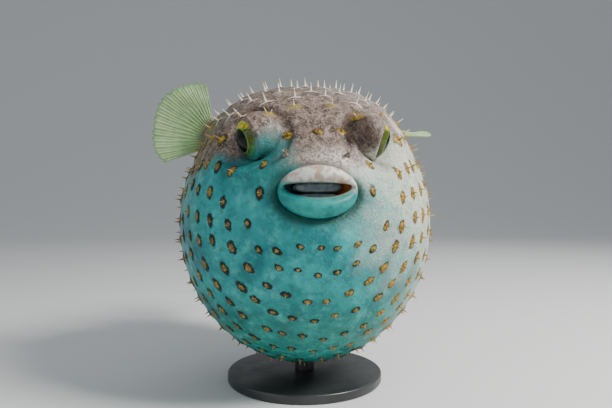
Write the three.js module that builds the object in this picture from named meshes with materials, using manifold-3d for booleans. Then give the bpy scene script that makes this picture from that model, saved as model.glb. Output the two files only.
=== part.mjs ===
/* Inflated spotbase burrfish (porcupinefish family), life size, on a plain display stand.

   Millimetres, +Z up. The fish faces -Y, its right side is at -X and its left side at +X.
   The origin is the centre of the stand's underside, straight below the middle of the ball; the
   sizes and places of the fish itself are given from the middle of the ball.

   The body is one skin: rings that start round the lips, widen over the face, run back over the
   ball and narrow again down the tail stalk. It is closed, parted into head, back, belly and tail
   stalk with thin flat cuts, and each part then takes the spines that are rooted in it. */

import * as THREE from 'three';
import { mergeVertices } from 'three/addons/utils/BufferGeometryUtils.js';
import Module from 'manifold-3d';

const wasm = await Module();
wasm.setup();

// ---------------------------------------------------------------- driving dimensions (mm, radians)

const DEG = Math.PI / 180;
const GAP = 0.3;                                  // left between pieces that touch

const STAND = { radius: 52, thick: 6, chamfer: 1.2, rodRadius: 6.5, rodLength: 8, rodInside: 12 };
const BALL = {
  halfWidth: 83.2, halfTop: 90.5, halfBottom: 92, halfFront: 93, halfBack: 88,
  squareTop: 0.6,                                 // how much squarer than an oval the back is
  narrowTop: 0.088, narrowFrom: 0.17, narrowTo: 0.71,  // share of the width lost towards the top
};
const BALL_Z = STAND.thick + STAND.rodLength + BALL.halfBottom;

const MOUTH = {
  lift: 11.5 * DEG,                               // the mouth lies this far above the ball's middle
  centreZ: 18.6, halfWide: 20.9, halfTall: 13.6,  // outside of the lips
  slitZ: 21.8, slitWide: 17.4, slitTop: 1.4, slitBottom: 6,  // the open slit between them
  lipY: -94.2, cornerBack: 5.5,                   // the lips' middle line, bent back at the corners
  lipDeep: 4.8, cornerDeep: 3,                    // half the lips' thickness, front to back
  muzzle: 3, muzzleReach: 25,                     // how far the muzzle stands out of the ball
  hollowZ: 19.5, hollowWide: 18.2, hollowTall: 4.4, hollowFrom: -100, hollowTo: -86,
};
const TOOTH = { halfWide: 13, thick: 2.6, tall: 5.4, bow: 3.6, frontY: -90.6, bite: 18.05, clear: 0.28 };
const EYE = {
  centre: [30.5, -65, 50.5],                      // middle of the left eye's turret
  turret: 13.5, ball: 11.9, dome: 10.7, proud: 1.9,
  rightOut: 64 * DEG, leftOut: 79 * DEG, down: 18 * DEG,  // where each eye looks
  opening: 8.4, openWide: 9.9,                    // the turret's mouth, from its middle
  clearing: 14, clearWide: 17,                    // room that widens in front of it
};
const NOSTRIL = { towards: [17, -84, 39], tip: 0.9, foot: 1.5, length: 4, sunk: 1 };
const HOLLOW = { centre: [25, -79, 38], depth: 1.8, reach: 10 };  // in front of and under each eye
const SHOULDER = { centre: [63, -4, 60], rise: 3.5, reach: 11 }; // fleshy base of a pectoral fin
const TAIL = {
  lift: 15 * DEG,                                 // where the ball's rings close, above level
  start: 0.86, merge: 0.4,                        // shares of the skin's and the stalk's length
  fromY: 68, toY: 116, fromZ: 20, toZ: 33, cap: 1.5,
  endWide: 4.8, endTall: 8.4, flareWide: 25, flareTall: 26, taper: 1.9,
};
const CUT = {
  headLift: 25 * DEG, headDistance: 60,           // plane behind the eyes and under the chin
  waistZ: -2,                                     // between back and belly
  tailY: 84,                                      // where the tail stalk leaves the ball
};
const SPINE = {
  firstRow: 25.5 * DEG, rowStep: 8 * DEG, rows: 16, mostPerRow: 26, spacing: 14.5,
  bellyCrowd: 0.22,                               // how much closer a row's spines stand below
  snoutRow: 28 * DEG, browRow: 45 * DEG,          // bare above the mouth, and between the eyes
  faceRow: 24 * DEG, bodyRow: 34 * DEG, backRow: 50 * DEG, frontRow: 58 * DEG, sideRow: 90 * DEG,
  length: 5.6, frontLength: 3.2, backLength: 6.8, faceLength: 3.4,
  base: 1.5, root: 1.2, lean: 30 * DEG, frontLean: 9 * DEG,
  backLow: 20, backHigh: 60,                      // heights between which spines grow longer
  clearOfCut: 2.4, clearOfEye: 17, clearOfFin: 12, besideFin: 22, clearOfRod: 11,
};
// The face's own spines: polar angle and turn in degrees; each off the middle line is mirrored.
const FACE_SPINES = [
  [22.5, 57], [19, 86], [27, 22], [23.5, 0], [41, 26], [41.5, 10], [17, 180], [18.3, 159], [21.5, 141],
];
const FIN_EDGE = 0.35;                            // half a fin's thickness at its rim
const GRID = {                                    // how finely each shape is divided
  rings: 18, around: 32, lipAround: 22, lipSides: 6, curve: 6, finRays: 8, finSteps: 3,
  eyeAround: 12, eyeRings: 8, turretRings: 9, sight: 14, nostril: 8, base: 28, rod: 20,
};

// ---------------------------------------------------------------- small helpers

const mix = (a, b, t) => a + (b - a) * t;
const clamp01 = (t) => Math.min(1, Math.max(0, t));
const smooth = (from, to, t) => {
  const u = clamp01((t - from) / (to - from));
  return u * u * (3 - 2 * u);
};
const vec = (x, y, z) => new THREE.Vector3(x, y, z);
const bell = (distance, reach) => Math.exp(-((distance / reach) ** 2));
const mirrored = (side, [x, y, z]) => vec(side * x, y, z);

/** Closed geometry from points and triangles. */
function geometryOf(points, triangles) {
  const geometry = new THREE.BufferGeometry();
  const flat = points.flatMap((p) => [p.x, p.y, p.z]);
  geometry.setAttribute('position', new THREE.Float32BufferAttribute(flat, 3));
  geometry.setIndex(triangles);
  return geometry;
}

/** A closed geometry as a solid that can be joined and cut. */
function solidOf(source) {
  const geometry = source.clone();
  geometry.deleteAttribute('normal');
  geometry.deleteAttribute('uv');
  const merged = mergeVertices(geometry, 1e-4);
  return new wasm.Manifold(new wasm.Mesh({
    numProp: 3,
    vertProperties: new Float32Array(merged.attributes.position.array),
    triVerts: new Uint32Array(merged.index.array),
  }));
}

/** A solid as a geometry again. */
function geometryFrom(solid) {
  const mesh = solid.getMesh();
  const geometry = new THREE.BufferGeometry();
  geometry.setAttribute('position', new THREE.BufferAttribute(mesh.vertProperties, 3));
  geometry.setIndex(new THREE.BufferAttribute(mesh.triVerts, 1));
  return geometry;
}

/** Rings of equally many points, joined in order and closed with a point at each end. */
function ringLoft(rings, firstTip, lastTip) {
  const around = rings[0].length;
  const points = rings.flat();
  const first = points.push(firstTip) - 1;
  const last = points.push(lastTip) - 1;
  const lastRing = (rings.length - 1) * around;
  const triangles = [];
  for (let j = 0; j < around; j += 1) {
    const k = (j + 1) % around;
    triangles.push(first, k, j);
    triangles.push(last, lastRing + j, lastRing + k);
    for (let i = 0; i < rings.length - 1; i += 1) {
      const a = i * around;
      const b = a + around;
      triangles.push(a + j, b + k, b + j);
      triangles.push(a + j, a + k, b + k);
    }
  }
  return geometryOf(points, triangles);
}

// ---------------------------------------------------------------- the skin's shape

/** Direction at a polar angle from the mouth and a turn round it (0 is up, a quarter is the left). */
function direction(polar, turn) {
  const tilt = mix(-MOUTH.lift, TAIL.lift, (1 - Math.cos(polar)) / 2);
  return vec(
    Math.sin(polar) * Math.sin(turn),
    -Math.cos(polar),
    Math.sin(polar) * Math.cos(turn),
  ).applyAxisAngle(vec(1, 0, 0), tilt);
}

/** Distance from the middle of the ball to the skin along a ray. */
function reach(ray, grow = 0) {
  const power = 2 + BALL.squareTop * smooth(0, 0.8, ray.z);
  const narrow = BALL.narrowTop * smooth(BALL.narrowFrom, BALL.narrowTo, ray.z);
  const halfWide = BALL.halfWidth * (1 - narrow);
  const halfTall = ray.z > 0 ? BALL.halfTop : BALL.halfBottom;
  const halfDeep = ray.y < 0 ? BALL.halfFront : BALL.halfBack;
  const section = (Math.abs(ray.x) / halfWide) ** power + (Math.abs(ray.z) / halfTall) ** power;
  let r = 1 / Math.hypot(section ** (1 / power), ray.y / halfDeep);
  const from = (point) => ray.clone().multiplyScalar(r).distanceTo(point);
  r += MOUTH.muzzle * bell(ray.angleTo(direction(0, 0)) * r, MOUTH.muzzleReach);
  for (const side of [-1, 1]) {
    r += SHOULDER.rise * bell(from(mirrored(side, SHOULDER.centre)), SHOULDER.reach);
    r -= HOLLOW.depth * bell(from(mirrored(side, HOLLOW.centre)), HOLLOW.reach);
  }
  return r + grow;
}

/** Point of the ball's skin along a ray from its middle. */
const onBall = (ray, grow) => ray.clone().multiplyScalar(reach(ray, grow));

/** Point of the skin: s runs from the lips (0) to the end of the tail stalk (1), turn goes round. */
function skin(s, turn, grow) {
  const t = clamp01((s - TAIL.start) / (1 - TAIL.start));
  const wide = mix(MOUTH.halfWide / BALL.halfFront, Math.PI, s) * Math.sin(turn);
  const tall = mix(MOUTH.halfTall / BALL.halfFront, Math.PI, s) * Math.cos(turn);
  const ball = onBall(direction(Math.hypot(wide, tall), Math.atan2(wide, tall)), grow);
  const flare = (1 - t) ** TAIL.taper;
  const halfWide = TAIL.endWide + TAIL.flareWide * flare + grow;
  const halfTall = TAIL.endTall + TAIL.flareTall * flare + grow;
  const stalk = vec(
    halfWide * Math.sin(turn),
    mix(TAIL.fromY, TAIL.toY + grow, t),
    mix(TAIL.fromZ, TAIL.toZ, t) + halfTall * Math.cos(turn),
  );
  return ball.lerp(stalk, smooth(0, TAIL.merge, t));
}

/** The whole body without spines as a closed solid, grown outwards by a margin. */
function bodySolid(grow = 0) {
  const rings = [];
  for (let i = 0; i <= GRID.rings; i += 1) {
    const ring = [];
    for (let j = 0; j < GRID.around; j += 1) {
      ring.push(skin(i / GRID.rings, (j / GRID.around) * 2 * Math.PI, grow));
    }
    rings.push(ring);
  }
  const tail = vec(0, TAIL.toY + TAIL.cap + grow, TAIL.toZ);
  return solidOf(ringLoft(rings, onBall(direction(0, 0), grow), tail));
}

// ---------------------------------------------------------------- cutting planes

const PLANES = {
  head: { normal: vec(0, -Math.cos(CUT.headLift), Math.sin(CUT.headLift)), distance: CUT.headDistance },
  waist: { normal: vec(0, 0, 1), distance: CUT.waistZ },
  tail: { normal: vec(0, 1, 0), distance: CUT.tailY },
};

/** Everything on the side of a plane that its normal points to (or away from), less half a gap. */
function halfSpace({ normal, distance }, side) {
  const size = 600;
  const box = new THREE.BoxGeometry(size, size, size);
  const turn = new THREE.Quaternion().setFromUnitVectors(vec(0, 0, 1), normal);
  const centre = normal.clone().multiplyScalar(distance + side * (size / 2 + GAP / 2));
  box.applyQuaternion(turn).translate(centre.x, centre.y, centre.z);
  return solidOf(box);
}

/** A point moved along the skin until it is clear of every cut. */
function clearOfCuts(point) {
  const moved = point.clone();
  for (const { normal, distance } of Object.values(PLANES)) {
    const off = moved.dot(normal) - distance;
    const lack = SPINE.clearOfCut - Math.abs(off);
    if (lack > 0) {
      moved.addScaledVector(normal, lack * (off < 0 ? -1 : 1));
    }
  }
  return onBall(moved.normalize());
}

// ---------------------------------------------------------------- fins

/** A fan of a fin: rays run from a short base line, each as long as the outline says.
    base, out, up: where it grows, which way its middle ray points, which way it spreads.
    line: which way the base line runs, where that differs from up.
    from, to: the first and last ray's angle. length(u): a ray's length, u from -1 to 1.
    thick: half the thickness at the foot. cup: how far the rim bends out of the flat. */
function finGeometry(fin) {
  const { base, out, up, line = up, halfBase, from, to, length, thick, cup = 0 } = fin;
  const rays = GRID.finRays;
  const steps = GRID.finSteps;
  const flat = out.clone().cross(up).normalize();
  const sheet = (side) => {
    const points = [];
    for (let i = 0; i <= rays; i += 1) {
      const u = -1 + (2 * i) / rays;
      const angle = mix(from, to, i / rays);
      const foot = base.clone().addScaledVector(line, u * halfBase);
      const ray = out.clone().multiplyScalar(Math.cos(angle)).addScaledVector(up, Math.sin(angle));
      for (let j = 0; j <= steps; j += 1) {
        const w = j / steps;
        const bend = cup * w * w * (1 - u * u / 2);
        const half = mix(thick, FIN_EDGE, w);
        points.push(foot.clone()
          .addScaledVector(ray, length(u) * w)
          .addScaledVector(flat, bend + side * half));
      }
    }
    return points;
  };
  const points = [...sheet(1), ...sheet(-1)];
  const row = steps + 1;
  const back = (rays + 1) * row;
  const triangles = [];
  const quad = (a, b, c, d) => triangles.push(a, b, c, a, c, d);
  for (let i = 0; i < rays; i += 1) {
    for (let j = 0; j < steps; j += 1) {
      const a = i * row + j;
      quad(a, a + 1, a + row + 1, a + row);
      quad(back + a, back + a + row, back + a + row + 1, back + a + 1);
    }
    const foot = i * row;
    const rim = foot + steps;
    quad(foot, foot + row, back + foot + row, back + foot);
    quad(rim, back + rim, back + rim + row, rim + row);
  }
  for (let j = 0; j < steps; j += 1) {
    const end = rays * row + j;
    quad(j, back + j, back + j + 1, j + 1);
    quad(end, end + 1, back + end + 1, back + end);
  }
  return geometryOf(points, triangles);
}

/** A rounded outline: the outer rays are shorter by `drop`, the last rays longer by `lean`. */
const rounded = (longest, drop, lean = 0) => (u) => (
  longest * Math.sqrt(1 - drop * u * u) * (1 + lean * u));

const FINS = {
  pectoral_fin_right: {
    base: vec(-62, -4, 57), out: vec(-0.96, 0.22, 0.16).normalize(), up: vec(0.15, -0.05, 0.99),
    halfBase: 6.5, from: -27 * DEG, to: 72 * DEG, thick: 1.3, cup: -4, length: rounded(42, 0.46, -0.09),
  },
  pectoral_fin_left: {
    base: vec(61, -3, 59), out: vec(0.66, 0.74, 0.14).normalize(), up: vec(-0.74, 0.64, 0.2).normalize(),
    line: vec(-0.05, 0.99, 0.1),
    halfBase: 8, from: -22 * DEG, to: 22 * DEG, thick: 1.3, cup: 2, length: rounded(41, 0.4),
  },
  dorsal_fin: {
    base: vec(0, 72, 49), out: vec(0, 0.66, 0.75).normalize(), up: vec(0, -0.75, 0.66),
    halfBase: 10, from: -26 * DEG, to: 34 * DEG, thick: 1.3, length: rounded(38, 0.4),
  },
  anal_fin: {
    base: vec(0, 80, 0), out: vec(0, 0.82, -0.57).normalize(), up: vec(0, 0.57, 0.82),
    halfBase: 9, from: -34 * DEG, to: 24 * DEG, thick: 1.3, length: rounded(37, 0.4),
  },
  caudal_fin: {
    base: vec(0, 112, 32.5), out: vec(0, 0.985, 0.17).normalize(), up: vec(0, -0.17, 0.985),
    halfBase: 7, from: -21 * DEG, to: 21 * DEG, thick: 1.6, length: rounded(43, 0.34),
  },
};

// ---------------------------------------------------------------- spines

/** The face's own spines, then rows round the mouth: each half a step out of line with the one
    before and closer together under the belly. */
function spineRoots() {
  const roots = [];
  for (const [polar, turn] of FACE_SPINES) {
    const sides = turn % 180 === 0 ? [1] : [1, -1];
    sides.forEach((side) => roots.push({ polar: polar * DEG, turn: side * turn * DEG, onFace: true }));
  }
  for (let row = 0; row < SPINE.rows; row += 1) {
    const polar = SPINE.firstRow + row * SPINE.rowStep;
    const girth = 2 * Math.PI * BALL.halfFront * Math.sin(polar);
    const count = Math.min(SPINE.mostPerRow, 2 * Math.round(girth / SPINE.spacing / 2));
    for (let k = 0; k < count; k += 1) {
      const even = ((k + (row % 2) / 2) / count) * 2 * Math.PI;
      roots.push({ polar, turn: Math.PI + even - SPINE.bellyCrowd * Math.sin(even) });
    }
  }
  return roots;
}

/** True where the fish carries no spine: snout, eyes, round the fins, and over the rod. */
function bare({ polar, turn, onFace }, point) {
  const up = Math.cos(turn);
  if (onFace) return false;
  if (polar < SPINE.snoutRow && up > -0.2) return true;
  if (polar < SPINE.browRow && up > 0.8) return true;
  if (point.z < 0 && Math.hypot(point.x, point.y) < SPINE.clearOfRod) return true;
  const byEye = [-1, 1].some((side) => (
    point.distanceTo(mirrored(side, EYE.centre)) < SPINE.clearOfEye));
  return byEye || Object.values(FINS).some(({ base, out }) => {
    const spoke = new THREE.Line3(base, base.clone().addScaledVector(out, SPINE.besideFin));
    const nearest = spoke.closestPointToPoint(point, true, vec(0, 0, 0));
    return nearest.distanceTo(point) < SPINE.clearOfFin;
  });
}

/** One spine as a slim three-sided spike, one edge forward, leaning back from the mouth. */
function spineGeometry({ polar, turn }, root) {
  const step = 1 * DEG;
  const back = onBall(direction(polar + step, turn)).sub(onBall(direction(polar - step, turn)));
  const across = onBall(direction(polar, turn + step)).sub(onBall(direction(polar, turn - step)));
  const outward = back.clone().cross(across).normalize();
  if (outward.dot(root) < 0) outward.negate();
  back.normalize();
  across.crossVectors(outward, back).normalize();
  const onBack = smooth(SPINE.backLow, SPINE.backHigh, root.z)
    * smooth(SPINE.bodyRow, SPINE.backRow, polar);
  const onFace = 1 - smooth(SPINE.faceRow, SPINE.bodyRow, polar);
  const onFront = 1 - smooth(SPINE.frontRow, SPINE.sideRow, polar);
  const plain = mix(SPINE.length, SPINE.frontLength, onFront);
  const length = mix(mix(plain, SPINE.backLength, onBack), SPINE.faceLength, onFace);
  const lean = mix(SPINE.lean, SPINE.frontLean, onFront * (1 - onBack));
  const apex = root.clone()
    .addScaledVector(outward, length * Math.cos(lean))
    .addScaledVector(back, length * Math.sin(lean));
  const foot = [0, 1, 2].map((k) => {
    const angle = Math.PI + (k * 2 * Math.PI) / 3;
    return root.clone()
      .addScaledVector(outward, -SPINE.root)
      .addScaledVector(back, SPINE.base * Math.cos(angle))
      .addScaledVector(across, SPINE.base * Math.sin(angle));
  });
  return geometryOf([...foot, apex], [0, 1, 3, 1, 2, 3, 2, 0, 3, 0, 2, 1]);
}

/** The spines that are rooted in one part, as one solid of separate spikes. */
function spinesIn(belongs) {
  let spikes = null;
  for (const place of spineRoots()) {
    const root = clearOfCuts(onBall(direction(place.polar, place.turn)));
    if (!bare(place, root) && belongs(root)) {
      const spike = solidOf(spineGeometry(place, root));
      spikes = spikes ? spikes.add(spike) : spike;
    }
  }
  return spikes;
}

// ---------------------------------------------------------------- mouth, eyes and nostrils

/** The ring of both lips: an oval path with a plump oval section, thinnest at the corners. */
function lipRing(grow = 0) {
  const around = GRID.lipAround;
  const sides = GRID.lipSides;
  const points = [];
  const triangles = [];
  for (let i = 0; i < around; i += 1) {
    const turn = (i / around) * 2 * Math.PI;
    const up = Math.cos(turn);
    const slitTall = up > 0 ? MOUTH.slitTop : MOUTH.slitBottom;
    const inner = vec(MOUTH.slitWide * Math.sin(turn), 0, MOUTH.slitZ + slitTall * up);
    const outer = vec(MOUTH.halfWide * Math.sin(turn), 0, MOUTH.centreZ + MOUTH.halfTall * up);
    const middle = inner.clone().add(outer).multiplyScalar(0.5);
    middle.y = MOUTH.lipY + MOUTH.cornerBack * Math.sin(turn) ** 2;
    const across = outer.sub(inner);
    const half = across.length() / 2 + grow;
    across.normalize();
    const deep = mix(MOUTH.cornerDeep, MOUTH.lipDeep, Math.abs(up)) + grow;
    for (let j = 0; j < sides; j += 1) {
      const angle = (j / sides) * 2 * Math.PI;
      const point = middle.clone().addScaledVector(across, half * Math.cos(angle));
      point.y += deep * Math.sin(angle);
      points.push(point);
      const a = i * sides + j;
      const b = i * sides + ((j + 1) % sides);
      const c = (a + sides) % (around * sides);
      const d = (b + sides) % (around * sides);
      triangles.push(a, c, d, a, d, b);
    }
  }
  return solidOf(geometryOf(points, triangles));
}

/** The hollow behind the slit: a block with an oval outline from the front. */
function mouthHollow() {
  const outline = new THREE.Shape();
  outline.absellipse(0, 0, MOUTH.hollowWide, MOUTH.hollowTall, 0, 2 * Math.PI);
  const block = new THREE.ExtrudeGeometry(outline, {
    depth: MOUTH.hollowTo - MOUTH.hollowFrom, bevelEnabled: false, curveSegments: GRID.curve,
  });
  return block.rotateX(Math.PI / 2).translate(0, MOUTH.hollowTo, MOUTH.hollowZ);
}

/** A tooth plate: a bent bar behind the lips, its biting edge towards the slit. */
function toothPlate(side, grow = 0) {
  const { halfWide, thick, tall, bow, frontY, bite, clear } = TOOTH;
  const half = halfWide + grow;
  const back = thick + grow;
  const outline = new THREE.Shape();
  outline.moveTo(-half, bow - grow);
  outline.quadraticCurveTo(0, -bow - grow, half, bow - grow);
  outline.lineTo(half, bow + back);
  outline.quadraticCurveTo(0, -bow + back, -half, bow + back);
  const plate = new THREE.ExtrudeGeometry(outline, {
    depth: tall + 2 * grow, bevelEnabled: false, curveSegments: GRID.curve,
  });
  const foot = side > 0 ? clear : -clear - tall;
  return plate.translate(0, frontY, bite + foot - grow);
}

/** The way an eye looks. */
function eyeAxis(side) {
  const outward = side < 0 ? EYE.rightOut : EYE.leftOut;
  return vec(
    side * Math.sin(outward) * Math.cos(EYE.down),
    -Math.cos(outward) * Math.cos(EYE.down),
    -Math.sin(EYE.down),
  );
}

/** A shape made along +Z, turned to look the way an eye does and moved along that way. */
function alongEye(side, shape, distance) {
  const axis = eyeAxis(side);
  const centre = mirrored(side, EYE.centre).addScaledVector(axis, distance);
  shape.applyQuaternion(new THREE.Quaternion().setFromUnitVectors(vec(0, 0, 1), axis));
  return shape.translate(centre.x, centre.y, centre.z);
}

/** An eyeball, a little flattened in front and set in its turret towards the way it looks. */
function eyeball(side, grow = 0) {
  const ball = new THREE.SphereGeometry(1, GRID.eyeAround, GRID.eyeRings).rotateX(Math.PI / 2);
  ball.scale(EYE.ball + grow, EYE.ball + grow, EYE.dome + grow);
  return alongEye(side, ball, EYE.proud);
}

/** The room in front of an eye that skin must leave clear: it starts at the turret's mouth. */
function sight(side) {
  const room = new THREE.CylinderGeometry(EYE.clearWide, EYE.openWide, EYE.clearing, GRID.sight);
  return alongEye(side, room.rotateX(Math.PI / 2), EYE.opening + EYE.clearing / 2);
}

/** The round turret of skin that carries an eye. */
function turret(side) {
  return alongEye(side, new THREE.SphereGeometry(EYE.turret, GRID.eyeAround, GRID.turretRings), 0);
}

/** A short nasal tentacle between the eye and the mouth. */
function nostril(side) {
  const outward = mirrored(side, NOSTRIL.towards).normalize();
  const root = onBall(outward).addScaledVector(outward, -NOSTRIL.sunk);
  const cone = new THREE.CylinderGeometry(NOSTRIL.tip, NOSTRIL.foot, NOSTRIL.length, GRID.nostril);
  cone.translate(0, NOSTRIL.length / 2, 0);
  cone.applyQuaternion(new THREE.Quaternion().setFromUnitVectors(vec(0, 1, 0), outward));
  return cone.translate(root.x, root.y, root.z);
}

// ---------------------------------------------------------------- stand

/** The stand's round base, its underside at the origin. */
function standBase() {
  const { radius, thick, chamfer } = STAND;
  const profile = [
    [0, 0], [radius - chamfer, 0], [radius, chamfer],
    [radius, thick - chamfer], [radius - chamfer, thick], [0, thick],
  ];
  const points = profile.map(([r, z]) => new THREE.Vector2(r, z));
  return new THREE.LatheGeometry(points, GRID.base).rotateX(Math.PI / 2).translate(0, 0, -BALL_Z);
}

/** The rod, long enough to enter the belly; the belly's own shape then trims it. */
function standRod() {
  const tall = STAND.rodLength + STAND.rodInside;
  const rod = new THREE.CylinderGeometry(STAND.rodRadius, STAND.rodRadius, tall, GRID.rod);
  return rod.rotateX(Math.PI / 2).translate(0, 0, -BALL_Z + STAND.thick + GAP + tall / 2);
}

// ---------------------------------------------------------------- assembly

const MATERIALS = {
  back: { color: 0x8f827c, roughness: 0.6 },
  belly: { color: 0x5fa3a1, roughness: 0.45 },
  lip: { color: 0x7fb5b0, roughness: 0.4 },
  fin: { color: 0x8fb487, roughness: 0.45 },
  eye: { color: 0x2b3522, roughness: 0.08 },
  tooth: { color: 0x566a6e, roughness: 0.3 },
  stand: { color: 0x2a2c2e, roughness: 0.45 },
};

const fish = new THREE.Group();
fish.position.z = BALL_Z;

function addPart(name, geometry, material) {
  const mesh = new THREE.Mesh(geometry, new THREE.MeshStandardMaterial({
    ...MATERIALS[material], metalness: 0,
  }));
  mesh.name = name;
  fish.add(mesh);
}

const body = bodySolid();
const bodyRoom = bodySolid(GAP);
const toothRoom = [-1, 1].map((side) => solidOf(toothPlate(side, GAP)));
const withoutTeeth = (solid) => toothRoom.reduce((left, room) => left.subtract(room), solid);

const beyond = ({ normal, distance }, point) => point.dot(normal) > distance;
const inHead = (point) => beyond(PLANES.head, point);
const inBack = (point) => !inHead(point) && beyond(PLANES.waist, point);
const inBelly = (point) => !inHead(point) && !beyond(PLANES.waist, point);

let head = body.intersect(halfSpace(PLANES.head, 1)).subtract(lipRing(GAP)).subtract(lipRing());
head = withoutTeeth(head.subtract(solidOf(mouthHollow())));
for (const end of [-1, 1]) {
  head = head.add(solidOf(turret(end))).subtract(solidOf(sight(end)));
  head = head.subtract(solidOf(eyeball(end, GAP))).add(solidOf(nostril(end)));
}
addPart('head', geometryFrom(head.add(spinesIn(inHead))), 'back');

const rear = body.intersect(halfSpace(PLANES.head, -1));
const upper = rear.intersect(halfSpace(PLANES.waist, 1));
const trunk = upper.intersect(halfSpace(PLANES.tail, -1));
const underside = rear.intersect(halfSpace(PLANES.waist, -1));
addPart('back', geometryFrom(trunk.add(spinesIn(inBack))), 'back');
addPart('belly', geometryFrom(underside.add(spinesIn(inBelly))), 'belly');
addPart('tail_stalk', geometryFrom(upper.intersect(halfSpace(PLANES.tail, 1))), 'back');

const lips = withoutTeeth(lipRing());
const slit = { normal: vec(0, 0, 1), distance: MOUTH.slitZ };
addPart('lip_upper', geometryFrom(lips.intersect(halfSpace(slit, 1))), 'lip');
addPart('lip_lower', geometryFrom(lips.intersect(halfSpace(slit, -1))), 'lip');
addPart('tooth_plate_upper', toothPlate(1), 'tooth');
addPart('tooth_plate_lower', toothPlate(-1), 'tooth');
addPart('eye_right', eyeball(-1), 'eye');
addPart('eye_left', eyeball(1), 'eye');

for (const [name, shape] of Object.entries(FINS)) {
  addPart(name, geometryFrom(solidOf(finGeometry(shape)).subtract(bodyRoom)), 'fin');
}

addPart('stand_base', standBase(), 'stand');
addPart('stand_rod', geometryFrom(solidOf(standRod()).subtract(bodyRoom)), 'stand');

export default fish;
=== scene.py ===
"""Inflated spotbase burrfish, life size, on a plain display stand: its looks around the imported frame.

Lengths are in millimetres and angles in radians until a mesh is made, which is in metres. +Z is up,
the fish faces -Y and its left side is at +X. Places on the fish count from the middle of its ball.
A side is -1 for the fish's right and 1 for its left.
"""

import bpy
import numpy as np
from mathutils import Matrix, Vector


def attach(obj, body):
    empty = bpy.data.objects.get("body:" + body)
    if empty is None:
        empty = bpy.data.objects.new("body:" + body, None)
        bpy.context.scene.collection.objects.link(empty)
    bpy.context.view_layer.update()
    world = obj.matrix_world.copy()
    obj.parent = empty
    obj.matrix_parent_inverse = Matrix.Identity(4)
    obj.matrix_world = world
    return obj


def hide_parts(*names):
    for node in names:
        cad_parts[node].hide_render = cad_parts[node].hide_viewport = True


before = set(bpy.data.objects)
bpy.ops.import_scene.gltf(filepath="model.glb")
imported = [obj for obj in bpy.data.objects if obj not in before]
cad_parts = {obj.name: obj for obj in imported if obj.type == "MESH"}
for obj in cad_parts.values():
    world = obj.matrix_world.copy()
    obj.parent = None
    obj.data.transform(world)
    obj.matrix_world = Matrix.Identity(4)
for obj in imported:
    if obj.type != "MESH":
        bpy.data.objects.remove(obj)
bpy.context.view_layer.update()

DEG = np.pi / 180
MM = 0.001
SIDES = ((-1, "right"), (1, "left"))

# ------------------------------------------------------------------ driving sizes

BALL_Z = 106.0                         # the ball's middle above the floor
HALF_WIDTH, HALF_TOP, HALF_BOTTOM, HALF_FRONT, HALF_BACK = 83.2, 90.5, 92.0, 93.0, 88.0
SQUARE_TOP = 0.6                       # what the oval's power of 2 gains towards the top
NARROW_TOP, NARROW_FROM, NARROW_TO = 0.088, 0.17, 0.71  # share of width lost, and over which rays' z
COAT_DEPTH = 0.45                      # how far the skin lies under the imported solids' surface

MOUTH_LIFT = 11.5 * DEG
LIP = dict(z=18.6, half_wide=20.9, half_tall=13.6, slit_z=21.8, slit_wide=17.4, slit_top=1.4,
           slit_bottom=6.0, y=-94.2, corner_back=5.5, deep=4.8, corner_deep=3.0)
LIP_BEND = dict(inner=200.0, outer_low=-52, outer_high=-24)  # degrees round the lips' section
CAVITY = dict(rim_bend=205 * DEG, nearest=0.06, throat_wide=9, throat_tall=2.2, throat_y=-80.0,
              bulge=3.4, bulge_rate=1.15)
MUZZLE, MUZZLE_REACH = 3.0, 25.0
HOLLOW, HOLLOW_DEPTH, HOLLOW_REACH = (25, -79, 38), 1.8, 10.0
SHOULDER, SHOULDER_RISE, SHOULDER_REACH = (63, -4, 60), 3.5, 11.0
TAIL_LIFT = 15 * DEG
TAIL = dict(start=0.86, merge=0.4, from_y=68, to_y=116, from_z=20, to_z=33, cap=1.5,
            end_wide=4.8, end_tall=8.4, flare_wide=25, flare_tall=26, taper=1.9)
GILL = dict(middle=(78, -17, 40), half_tall=9.5, bow=3.0, wide=1.3, depth=2.4, fade_far=16,
            fade_near=10)

EYE_CENTRE = (30.5, -65.0, 50.5)
TURRET, EYEBALL, EYE_DOME, EYE_PROUD = 13.5, 13.0, 11.6, 1.3
EYE_OUT = {-1: 64 * DEG, 1: 79 * DEG}  # the right eye looks a little further forward
EYE_DOWN = 18 * DEG
EYE_GRID = dict(ahead=4, pull=0.45, reach=15 * DEG)  # how the skin's grid is drawn to the eyes
# The lid turns pace degrees round the eyeball for each millimetre of skin, and less by slowing
# beyond slow_past; it lies tuck under the eyeball up to rise, and its rim stands out at rim.
LID = dict(foot=7.8, pace=6.6, slowing=1.5, slow_past=10, tuck=0.9, rise=(49 * DEG, 61 * DEG),
           rim=64 * DEG, rim_wide=5.5 * DEG, rim_high=1.0)
# Where each side of a turret runs back into the ball, and the crease along its inner side.
TURRET_END = dict(outer=(10.6, 21.0), inner=(20.0, 27.0))
CREASE = dict(away=24.5, wide=1.8, depth=1.9)

NOSTRIL = dict(towards=(17, -84, 39), foot=1.7, waist=0.95, rim=1.35, length=3.6, lean_up=0.25)
TOOTH = dict(half_wide=13.0, thick=2.6, bow=3.6, front=-90.6, bite=18.05, gap=0.55, tall=5.4)
STAND = dict(radius=52.0, thick=6.0, edge=1.2, rod_radius=6.5, rod_foot=6.3, rod_top=15.2)

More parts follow.
